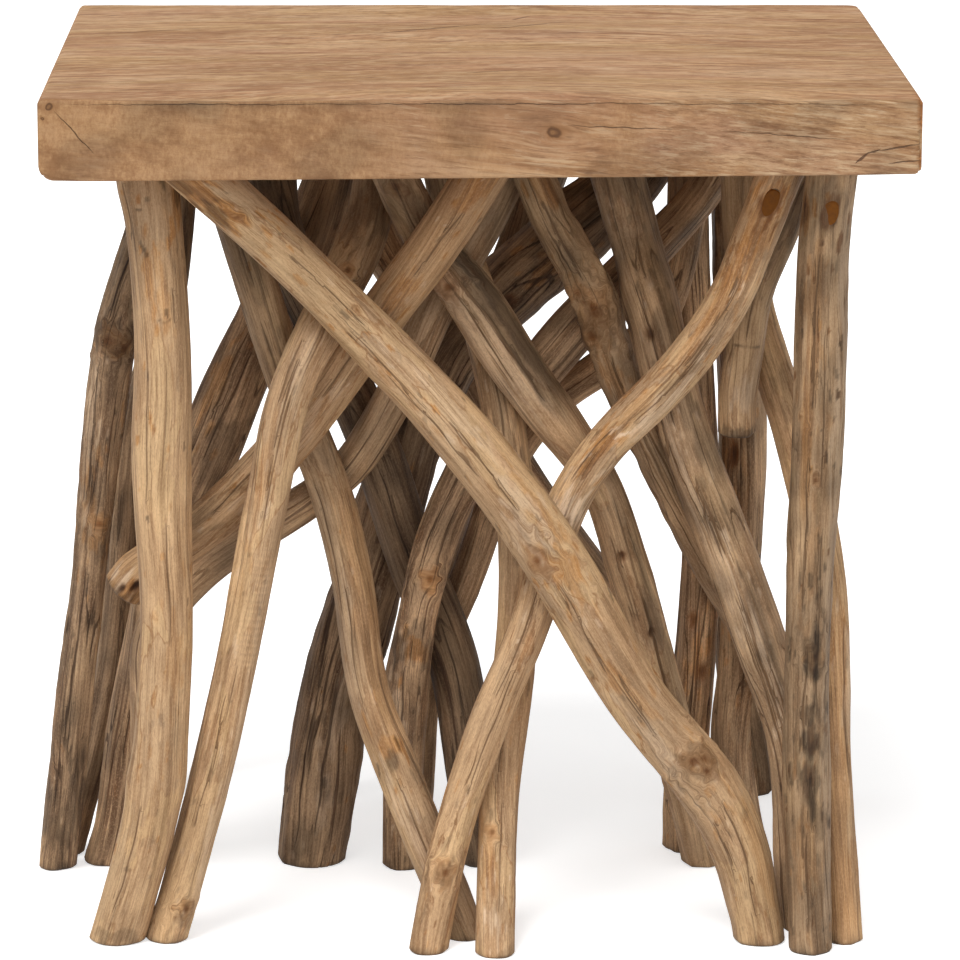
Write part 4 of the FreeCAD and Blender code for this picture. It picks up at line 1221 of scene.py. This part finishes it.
def plank_rings():
    """Rings about the plank's own middle; edge radius = a base + slow waves + more near the ends."""
    x, inset = plank_lengthwise()
    near_left = ease(1 - (x + half_length) / (30 * mm))
    near_right = ease(1 - (half_length - x) / (40 * mm))
    uneven = 0.3 * mm * stir(x, 0.0, 12, 0.3, 0.03, 0)
    upper = 1.1 * mm + uneven + 1.5 * mm * near_left + 2.0 * mm * near_right
    lower = 1.0 * mm + uneven[::-1] + 3.0 * mm * near_left + 2.0 * mm * near_right
    radii = [np.maximum(radius - inset, least_round) for radius in (upper, upper, lower, lower)]
    ring = ring_places(half_depth - inset, half_height - inset, radii)
    return np.broadcast_to(x[:, None], ring.shape[:2]), ring[..., 0], ring[..., 1]


print("points in the plank's skin", plank_rings()[0].size)

# %% [markdown]
# Years of use. The four corners of the front view and two of the top view are rounded, each by
# its own amount. The top dips a little towards its long edges, most at the front, where people
# sit. The long faces were smoothed by hand, so they aren't quite flat. The underside hangs
# lower towards the front left. The pattern of the wood is set before this wear, as in a real
# plank: wear cuts through the grain and doesn't bend it.

# %% Wear of the plank
end_corners = ((-1, -1, 8 * mm), (-1, 1, 3 * mm), (1, -1, 4 * mm), (1, 1, 3 * mm))
rear_corner, front_corner = 8 * mm, 4 * mm
worn_band = 30 * mm
hewn_depth = 0.18 * mm
almost_nothing = 1e-9


def round_corner(p, q, end_p, end_q, radius):
    """Bend the square corner of the p, q plane at (end_p, end_q) into a quarter circle.

    Inside the last square of one radius, the longer offset from the circle's middle becomes
    the distance from it, so the straight sides bend into the arc without folding.
    """
    side_p, side_q = np.sign(end_p), np.sign(end_q)
    off_p = (p - end_p) * side_p + radius
    off_q = (q - end_q) * side_q + radius
    inside = (off_p > 0) & (off_q > 0)
    share = np.maximum(off_p, off_q) / np.maximum(np.hypot(off_p, off_q), almost_nothing)
    return (np.where(inside, end_p + side_p * (off_p * share - radius), p),
            np.where(inside, end_q + side_q * (off_q * share - radius), q))


def wear_plank(x, y, z):
    """Worn places: z - dip at the edges + hang of the underside, y - hand-made waves of the faces."""
    worn = np.maximum(1 + stir(x, 9 * y, 41, 0.3, 0.04, 2), 0)
    near_edge = ease((np.abs(y) - half_depth + worn_band) / worn_band)
    dip = (0.15 + 0.5 * (y < 0)) * mm * worn * near_edge * ease(z / half_height)
    hewn = hewn_depth * np.maximum(1 + stir(x, 60 * z, 43, 0.12, 0.015, 2, 20), 0)
    hewn = hewn * ease((np.abs(y) - half_depth + 6 * mm) / (5 * mm))
    hang = (-2.2 + 3.2 * (x + half_length) / (2 * half_length)) * mm
    hang = hang * ease(-z / half_height) * ease((0.1 - y) / 0.25)
    return np.stack([x, y - np.sign(y) * hewn, z - dip + hang], -1)


x, y, z = plank_rings()
for side_x, side_z, radius in end_corners:
    x, z = round_corner(x, z, side_x * half_length, side_z * half_height, radius)
x, y = round_corner(x, y, half_length, half_depth, rear_corner)
x, y = round_corner(x, y, half_length, -half_depth, front_corner)
plank_grid = wear_plank(x, y, z) + plank_centre
dips = (z + plank_centre[2] - plank_grid[..., 2])[z > 0]
print("deepest dip of the top", round(float(dips.max()) / mm, 2), "mm")

# %% [markdown]
# Grain and tones of the plank. The place of the wood is told from its pith, which lies under the
# rear of the plank, so the top shows growth rings as long lines and the ends show them as arcs.
# Slow waves and one broad arch bend the lines, and on the front face they swerve round three
# knots. The front is painted darker than the top, as painted shade on the face that gets less
# light, and a darker band runs under its upper edge, weaker to the right.

# %% Grain and tones of the plank
pith_y, pith_z = 0.13, -0.1
plank_knots = ((0.0365, 0.0025, 3.4), (-0.2184, 0.0165, 2.0), (-0.2225, 0.0095, 1.0))


def plank_grain(x, y, z):
    """Place from the pith + waves - arch; beside a knot, z is pressed towards the knot's middle."""
    warp = 0.005 * stir(x, 6 * y, 57, 0.9, 0.22, 2) + 0.0004 * stir(x, 24 * y, 59, 0.2, 0.08, 2)
    arch = 0.032 * bell((x - 0.01) / 0.14) * (1 + 0.4 * stir(y, 0.0, 61, 0.3, 0.1, 0))
    grain_y = y + pith_y + warp - arch
    grain_z = z + pith_z + 0.4 * warp + 0.1 * x
    on_front = y < -half_depth + 6 * mm
    for at_x, at_z, size in plank_knots:
        reach = np.hypot(0.5 * (x - at_x), z - at_z)
        grain_z = grain_z - 0.75 * (z - at_z) * bell(reach / (2.6 * size * mm)) * on_front
    return np.stack([grain_y, grain_z, x], -1)


def plank_tones(x, y, z):
    """Marks: mottled and torn shares of the front. Tones: resin at the right end, and the shade: painted
    shade on the front face, a darker band under its upper edge and clouds.
    """
    blank = np.zeros(x.shape)
    front = ease((-y - half_depth + 3 * mm) / (2 * mm))
    # A darker band just under the upper edge of the front, weaker to the right.
    below = half_height - z
    dark_band = 0.4 * bell((below - 1.5 * mm) / (1.0 * mm)) + 0.3 * bell((below - 3 * mm) / (2.5 * mm))
    dark_band = dark_band * (0.7 + 0.5 * stir(x, 0.0, 63, 0.2, 0.02, 0)) * (1 - 0.6 * ease((x + 0.03) / 0.1))
    cloud = ease(stir(x, 60 * z, 65, 0.18, 0.03, 2) + 0.1)
    # Painted shade: the front face is 0.23 darker than the top, as the face that gets less light; the band
    # and clouds darken it more.
    darker = 0.23 + 0.05 * window(x, -0.17, -0.03, 0.05) + 0.42 * dark_band + 0.14 * cloud
    shade = np.clip(1.06 - front * darker, 0.3, 1.15)
    resin = window(x, 0.2225, 0.3, 0.003) * ease((-y - 0.14) / 0.03)
    resin = 0.75 * resin * ease(stir(x, 120 * z, 71, 0.1, 0.01, 2) + 0.9)
    torn = front * ease((x - 0.02) / 0.15)
    mottled = 0.2 + 0.8 * ease((0.03 - x) / 0.14) + 0.25 * stir(x, 30 * z, 77, 0.1, 0.02, 2)
    return {"marks": np.stack([front * np.clip(mottled, 0, 1), torn, blank, blank], -1),
            "tones": np.stack([blank, resin, blank, shade], -1)}


plank_paints = {"grain": plank_grain(x, y, z), **plank_tones(x, y, z)}
print("darkest shade on the plank", round(float(plank_paints["tones"][..., 3].min()), 2))

# %% [markdown]
# Cracks and knots of the plank. As it dried, the plank split at its ends and in a few places on
# top. Grooves a fraction of a millimetre wide would need a very fine mesh, so they are drawn in
# the material: a Mapping node turns and scales the place so that a crack runs from -1 to 1 on
# X with a half width of 1 on Y, and it stays sharp on a coarse mesh. Knots are found likewise.
#
# A crack is a start and an end, measured from the plank's middle in metres, and a half width.

# %% Cracks and knots of the plank
crack_reach = 6 * mm
knot_depth = 8 * mm
knot_flat = 1.15
front_cracks = (((-0.2172, 0.0152), (-0.1955, -0.0088), 0.35 * mm),
                ((0.1905, -0.0135), (0.1975, -0.007), 0.8 * mm),
                ((0.1955, -0.0085), (0.2036, -0.0055), 0.6 * mm),
                ((0.201, -0.0068), (0.2245, -0.0028), 0.55 * mm),
                ((0.2065, -0.013), (0.225, -0.0115), 0.4 * mm),
                ((0.042, 0.0065), (0.1, 0.0045), 0.3 * mm),
                ((0.12, 0.004), (0.19, -0.001), 0.25 * mm),
                ((-0.215, 0.0176), (-0.06, 0.0174), 0.24 * mm),
                ((-0.09, 0.0176), (0.1, 0.0178), 0.26 * mm),
                ((0.03, 0.0178), (0.222, 0.0172), 0.16 * mm))
top_cracks = (((-0.0607, 0.056), (0.0103, 0.1), 1.25 * mm), ((0.022, 0.114), (0.034, 0.13), 0.9 * mm),
              ((0.0075, 0.0756), (0.058, 0.112), 0.8 * mm), ((-0.012, -0.091), (0.03, -0.074), 0.8 * mm),
              ((-0.213, 0.129), (-0.197, 0.136), 0.8 * mm), ((-0.21, 0.055), (-0.14, 0.088), 0.5 * mm),
              ((-0.19, -0.12), (-0.17, -0.117), 0.5 * mm), ((0.13, -0.09), (0.15, -0.084), 0.6 * mm))


def crack_mask(recipe, place, start, end, level, half_width):
    """1 where 1 - u^2 - |v| > 0, with u along the crack and v across it, near one face only."""
    middle = ((start[0] + end[0]) / 2, (start[1] + end[1]) / 2, level)
    turn = math.atan2(end[1] - start[1], end[0] - start[0])
    scale = (math.dist(start, end) / 2, half_width, crack_reach)
    local = recipe.add("Mapping", {"Vector": place, "Location": middle, "Rotation": (0, 0, turn),
                                   "Scale": scale}, vector_type="TEXTURE")
    run, aside, depth = recipe.add("SeparateXYZ", {0: local}).node.outputs
    taper = recipe.work_out("SUBTRACT", 1.0, recipe.times(run, run))
    inside = recipe.work_out("SUBTRACT", taper, recipe.size(aside))
    return recipe.times((inside, 0.0, 0.45), (recipe.size(depth), 1.0, 0.8))


def knot_reach(recipe, place, centre, size):
    """Distance from a knot's middle over its size: 1 at its rim, large off its own face."""
    local = recipe.add("Mapping", {"Vector": place, "Location": centre,
                                   "Scale": (size * knot_flat, size, knot_depth)}, vector_type="TEXTURE")
    return recipe.add("VectorMath", {0: local}, "Value", operation="LENGTH")


print("cracks", len(front_cracks) + len(top_cracks), "knots", len(plank_knots))

# %% [markdown]
# The plank's finish. Growth rings are a ring wave about the pith, with bands, streaks and
# clouds over them. Pores are short dark dashes, and flecks lie across the grain. The first cell
# gathers what the layers read, and the second lays them from the widest to the finest.

# %% What the plank wood reads


class PlankWood(Recipe):
    """Finish of the plank; it holds the painted channels, the place and the main noises."""

    def __init__(self, name):
        super().__init__(name)
        self.mottled, self.torn, self.end = self.read("marks")[:3]
        self.resin, self.shade = self.read("tones")[1::2]
        self.grain = self.add("Attribute", {}, "Vector", attribute_name="grain")
        self.here = self.add("TexCoord", {}, "Object")
        self.fibre = self.grained(0.06, 430, 4, 0.62)
        self.pores = self.grained(0.05, 950, 3, 0.6)
        self.fleck = self.grained(0.45, 300, 4, 0.65)


print("the plank wood reads grain, marks, tones and its own place")

# %% Fresh plank
ring_tones = (176, 132, 92), (196, 152, 110)


def fresh_plank(wood):
    """Growth rings, then bands, streaks, clouds, tints, fibres, pores and flecks."""
    drawn = wood.add("Mapping", {"Vector": wood.grain, "Scale": (1.0, 1.0, 0.1)})
    growth = wood.rings(drawn, 62.0, 3.5, 4.0, 1.3, 0.6)
    band = wood.grained(0.05, 42, 3, 0.6)
    streak = wood.grained(0.075, 115, 5, 0.65)
    cloud = wood.grained(0.35, 17, 5, 0.62)
    tint = wood.grained(0.12, 34, 4, 0.6)
    return wood.lay(wood.mix((growth, 0.15, 0.85), *ring_tones),
                    ((band, 0.38, 0.52, 0.55, 0.0), (166, 120, 80)),
                    ((band, 0.54, 0.66, 0.0, 0.6), (204, 166, 124)),
                    ((streak, 0.53, 0.66, 0.0, 0.8), (210, 172, 130)),
                    ((streak, 0.34, 0.48, 0.85, 0.0), (140, 96, 60)),
                    ((cloud, 0.38, 0.5, 0.65, 0.0), (152, 108, 70)),
                    ((cloud, 0.54, 0.68, 0.0, 0.4), (194, 160, 130)),
                    ((tint, 0.36, 0.5, 0.4, 0.0), (186, 148, 98)),
                    ((tint, 0.5, 0.64, 0.0, 0.4), (176, 126, 94)),
                    ((wood.fibre, 0.34, 0.48, 0.5, 0.0), (128, 88, 56)),
                    ((wood.fibre, 0.56, 0.68, 0.0, 0.35), (210, 176, 138)),
                    ((wood.pores, 0.34, 0.43, 0.5, 0.0), (112, 76, 48)),
                    ((wood.fleck, 0.35, 0.48, 0.3, 0.0), (130, 92, 62)),
                    ((wood.fleck, 0.55, 0.68, 0.0, 0.3), (212, 180, 146)))


print("growth rings run from", ring_tones[0], "to", ring_tones[1])

# %% [markdown]
# The front face. Ray flecks make its left mottled, and on its right the plane has torn the
# grain into light and dark threads. Resin has run out at the right end.

# %% Front face
figure_tones = (164, 118, 77), (200, 156, 110)
resin_streak_tones = (120, 66, 26), (186, 116, 48)


def front_face(wood, base):
    """Mottled figure to the left, torn grain to the right, threads and silver lines between."""
    tilted = wood.add("Mapping", {"Vector": wood.here, "Rotation": (0, 0.9, 0), "Scale": (1.0, 1.0, 0.5)})
    speckle = wood.noise(tilted, 620, 4, 0.7)
    blotch = wood.grained(0.6, 66, 6, 0.7)
    figure = wood.lay(wood.mix((speckle, 0.34, 0.66), *figure_tones),
                      ((blotch, 0.46, 0.62, 0.0, 0.7), (134, 90, 53)),
                      ((blotch, 0.32, 0.46, 0.4, 0.0), (200, 160, 118)))
    tear = wood.grained(0.065, 400, 6, 0.74)
    thread = wood.spread(wood.grained(0.025, 240, 2, 0.5), 0.34, 0.305)
    silver = wood.spread(wood.grained(0.03, 330, 3, 0.6), 0.58, 0.64)
    resin = wood.mix((wood.fibre, 0.35, 0.65), *resin_streak_tones)
    return wood.lay(base,
                    (wood.times(wood.mottled, 0.85), figure),
                    (wood.times(wood.torn, (tear, 0.53, 0.66, 0.0, 0.85)), (216, 184, 146)),
                    (wood.times(wood.torn, (tear, 0.35, 0.47, 0.8, 0.0)), (128, 88, 58)),
                    (wood.times(thread, (wood.mottled, 0.1, 0.8, 0.55, 0.0)), (118, 78, 48)),
                    (wood.times(silver, (wood.mottled, 0.1, 0.8, 0.45, 0.0)), (214, 182, 144)),
                    (wood.resin, resin))


print("the front's figure runs from", figure_tones[0], "to", figure_tones[1])

# %% [markdown]
# Cracks and knots in place. A straight line would look drawn, so the place is stirred by a fine
# noise before the masks read it. The knots have a collar, and rings round a dark heart.

# %% Cracks and knots in place


def stirred_places(wood):
    """Place for the top, for the front and for the knots, stirred so that lines aren't straight.

    The front is seen with z in place of y, so one way of drawing cracks serves both faces.
    """
    blur = wood.add("TexNoise", {"Vector": wood.here, "Scale": 110.0, "Detail": 3.0}, "Color")
    stirred = wood.add("VectorMath", {0: blur, 1: (0.5, 0.5, 0.5)}, operation="SUBTRACT")
    stirred = wood.add("VectorMath", {0: stirred, "Scale": 2.2 * mm}, operation="SCALE")
    more = wood.add("VectorMath", {0: stirred, "Scale": 2.6}, operation="SCALE")
    across, back, up = wood.add("SeparateXYZ", {0: wood.here}).node.outputs
    upright = wood.add("CombineXYZ", {0: across, 1: up, 2: back})
    return [wood.add("VectorMath", {0: place, 1: shift})
            for place, shift in ((wood.here, stirred), (upright, stirred), (upright, more))]


def plank_cracks(wood, top_place, front_place):
    """The most of all crack masks, those of the front face and those of the top."""
    masks = []
    for start, end, half_width in front_cracks:
        start, end = [(plank_centre[0] + p[0], plank_centre[2] + p[1]) for p in (start, end)]
        masks.append(crack_mask(wood, front_place, start, end, plank_low.y, half_width))
    for start, end, half_width in top_cracks:
        start, end = [(plank_centre[0] + p[0], p[1]) for p in (start, end)]
        masks.append(crack_mask(wood, top_place, start, end, plank_high.z, half_width))
    total = masks[0]
    for mask in masks[1:]:
        total = wood.most(total, mask)
    return total


def knotted_plank(wood, base, place):
    """Collar, then a heart with rings: sin(7 x reach). Hands back the base and the hearts."""
    hearts = 0.0
    for at_x, at_z, size in plank_knots:
        centre = (plank_centre[0] + at_x, plank_centre[2] + at_z, plank_low.y)
        reach = knot_reach(wood, place, centre, size * mm)
        wave = wood.work_out("SINE", wood.times(reach, 7.0))
        core = wood.mix((wave, -1.0, 1.0), (92, 58, 32), (140, 98, 60))
        heart = wood.spread(reach, 1.08, 0.85)
        base = wood.lay(base, ((reach, 2.6, 0.9, 0.0, 0.5), (150, 104, 62)),
                        (wood.times(heart, 0.85), core))
        hearts = wood.most(hearts, heart)
    return base, hearts


print("cracks on the front", len(front_cracks), "on the top", len(top_cracks))

# %% [markdown]
# All layers of the plank in turn. Sawn ends and the painted shade come last, and the relief is
# kept low, because the plank was planed.

# %% Plank finish


def plank_finish(wood):
    """All layers in turn, with a bump = fibres + pores + flecks - cracks - knots."""
    top_place, front_place, knot_place = stirred_places(wood)
    cracks = plank_cracks(wood, top_place, front_place)
    base = wood.mix(wood.times(cracks, 0.8), front_face(wood, fresh_plank(wood)), (78, 48, 28))
    base, hearts = knotted_plank(wood, base, knot_place)
    sawn = wood.mix(wood.rings(wood.grain, 58.0, 3.0, 4.0, 1.2), (146, 106, 70), (174, 134, 96))
    base = wood.mix(wood.times(wood.end, (wood.fleck, 0.3, 0.7, 0.75, 0.4)), base, sawn)
    base = wood.mix(1.0, base, wood.shade, "MULTIPLY")
    relief = wood.weigh((wood.fibre, 0.6), (wood.pores, 0.4), (wood.fleck, 0.3),
                        (cracks, -1.5), (hearts, -0.4))
    bump = wood.add("Bump", {"Strength": 0.75, "Distance": 0.6 * mm, "Height": relief})
    return wood.finish({"Base Color": base, "Roughness": (wood.fibre, 0.3, 0.7, 0.72, 0.56),
                        "Specular IOR Level": 0.3, "Normal": bump})


plank_wood = plank_finish(PlankWood("top_wood"))
print("plank wood has", len(plank_wood.node_tree.nodes), "nodes")

# %% [markdown]
# Making the plank. The rings become one closed mesh in the same way as a branch, and the mesh
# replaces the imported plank.

# %% Make the plank
plank = surface_object("plank", plank_grid, plank_paints)
plank.data.materials.append(plank_wood)
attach(plank, "root")
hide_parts("table_top")
print("plank", len(plank.data.polygons), "faces")

# %% [markdown]
# The plugs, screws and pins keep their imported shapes. Only the plugs' outer ends show, as dark
# round spots on two branch heads. Each finish is one tone with a darker one in specks.

# %% Small pieces
darker_specks = 0.7
roughness_swing = 0.08
small_gloss = 0.2


def plain(name, tone, metallic, roughness):
    """Simple finish: specks between the tone and 0.7 of it, and a little more or less gloss."""
    recipe = Recipe(name)
    light = colour(*tone)
    dark = (*[darker_specks * v for v in light[:3]], 1.0)
    speckle = recipe.noise(recipe.add("TexCoord", {}, "Object"), 420, 4)
    rough, rougher = roughness - roughness_swing, roughness + roughness_swing
    return recipe.finish({"Base Color": recipe.mix((speckle, 0.3, 0.7), dark, light), "Metallic": metallic,
                          "Roughness": (speckle, 0.3, 0.7, rough, rougher),
                          "Specular IOR Level": small_gloss})


finishes = {"head_screws": plain("screw_steel", (165, 165, 160), 1.0, 0.35),
            "filler_plugs": plain("plug_wood", (114, 67, 19), 0.0, 0.85),
            "crossing_pins": plain("pin_wood", (196, 160, 118), 0.0, 0.6)}
for node, finish in finishes.items():
    data = frame["nodes"][node].data
    data.materials.clear()
    data.materials.append(finish)
print("small pieces", list(finishes))

# %% [markdown]
# Floor. The photograph has a plain white ground. The floor is white for the camera, and it is
# an ordinary matt white for everything else, so it keeps the shadow under the table.

# %% Floor
floor_reach = 12.0
floor_glow = 0.6


def seen_directly(recipe):
    """1 for rays from the eye, also by way of a mirror or through glass, and 0 for light."""
    rays = recipe.add("LightPath", {}).node.outputs
    mirrored = recipe.most(rays["Is Glossy Ray"], rays["Is Transmission Ray"])
    return recipe.most(rays["Is Camera Ray"], mirrored)


floor_mesh = bpy.data.meshes.new("floor")
floor_corners = [(side_x * floor_reach, side_y * floor_reach, floor_z)
                 for side_x, side_y in ((-1, -1), (1, -1), (1, 1), (-1, 1))]
floor_mesh.from_pydata(floor_corners, [], [(0, 1, 2, 3)])
floor = bpy.data.objects.new("floor", floor_mesh)
bpy.context.scene.collection.objects.link(floor)
ground = Recipe("white_floor")
floor_mesh.materials.append(ground.finish({
    "Base Color": (0.84, 0.84, 0.84, 1), "Roughness": 0.9, "Emission Color": (1, 1, 1, 1),
    "Emission Strength": ground.times(seen_directly(ground), floor_glow)}))
print("floor", 2 * floor_reach, "m wide")

# %% [markdown]
# Light. It is soft and comes from all round, a little stronger from above and in front, so the
# sky is white and two wide lamps stand far off. The camera sees the sky as full white, and the
# table is lit by less of it, which keeps the tangle of branches dark inside.

# %% Light
sky_strength = 0.42
world = bpy.data.worlds.new("studio")
bpy.context.scene.world = world
world.use_nodes = True
sky = world.node_tree.nodes["Background"]
sky.inputs["Color"].default_value = (1, 1, 1, 1)
rays = world.node_tree.nodes.new("ShaderNodeLightPath")
blend = world.node_tree.nodes.new("ShaderNodeMapRange")
blend.inputs[3].default_value = sky_strength
blend.inputs[4].default_value = 1.0
world.node_tree.links.new(rays.outputs["Is Camera Ray"], blend.inputs[0])
world.node_tree.links.new(blend.outputs[0], sky.inputs["Strength"])


def soft_sun(name, pitch, turn, strength, spread):
    """Distant lamp: pitch above the horizon, turn from the front towards the right, in degrees."""
    data = bpy.data.lights.new(name, "SUN")
    data.energy = strength
    data.angle = math.radians(spread)
    lamp = bpy.data.objects.new(name, data)
    pitch, turn = math.radians(pitch), math.radians(turn)
    away = Vector((math.sin(turn) * math.cos(pitch), -math.cos(turn) * math.cos(pitch), math.sin(pitch)))
    lamp.rotation_euler = away.to_track_quat("Z", "Y").to_euler()
    bpy.context.scene.collection.objects.link(lamp)


soft_sun("key", 60, -28, 2.0, 25)
soft_sun("fill", 18, 8, 0.75, 50)
bpy.context.scene.view_settings.view_transform = "Standard"
print("lights", [light.name for light in bpy.data.lights])
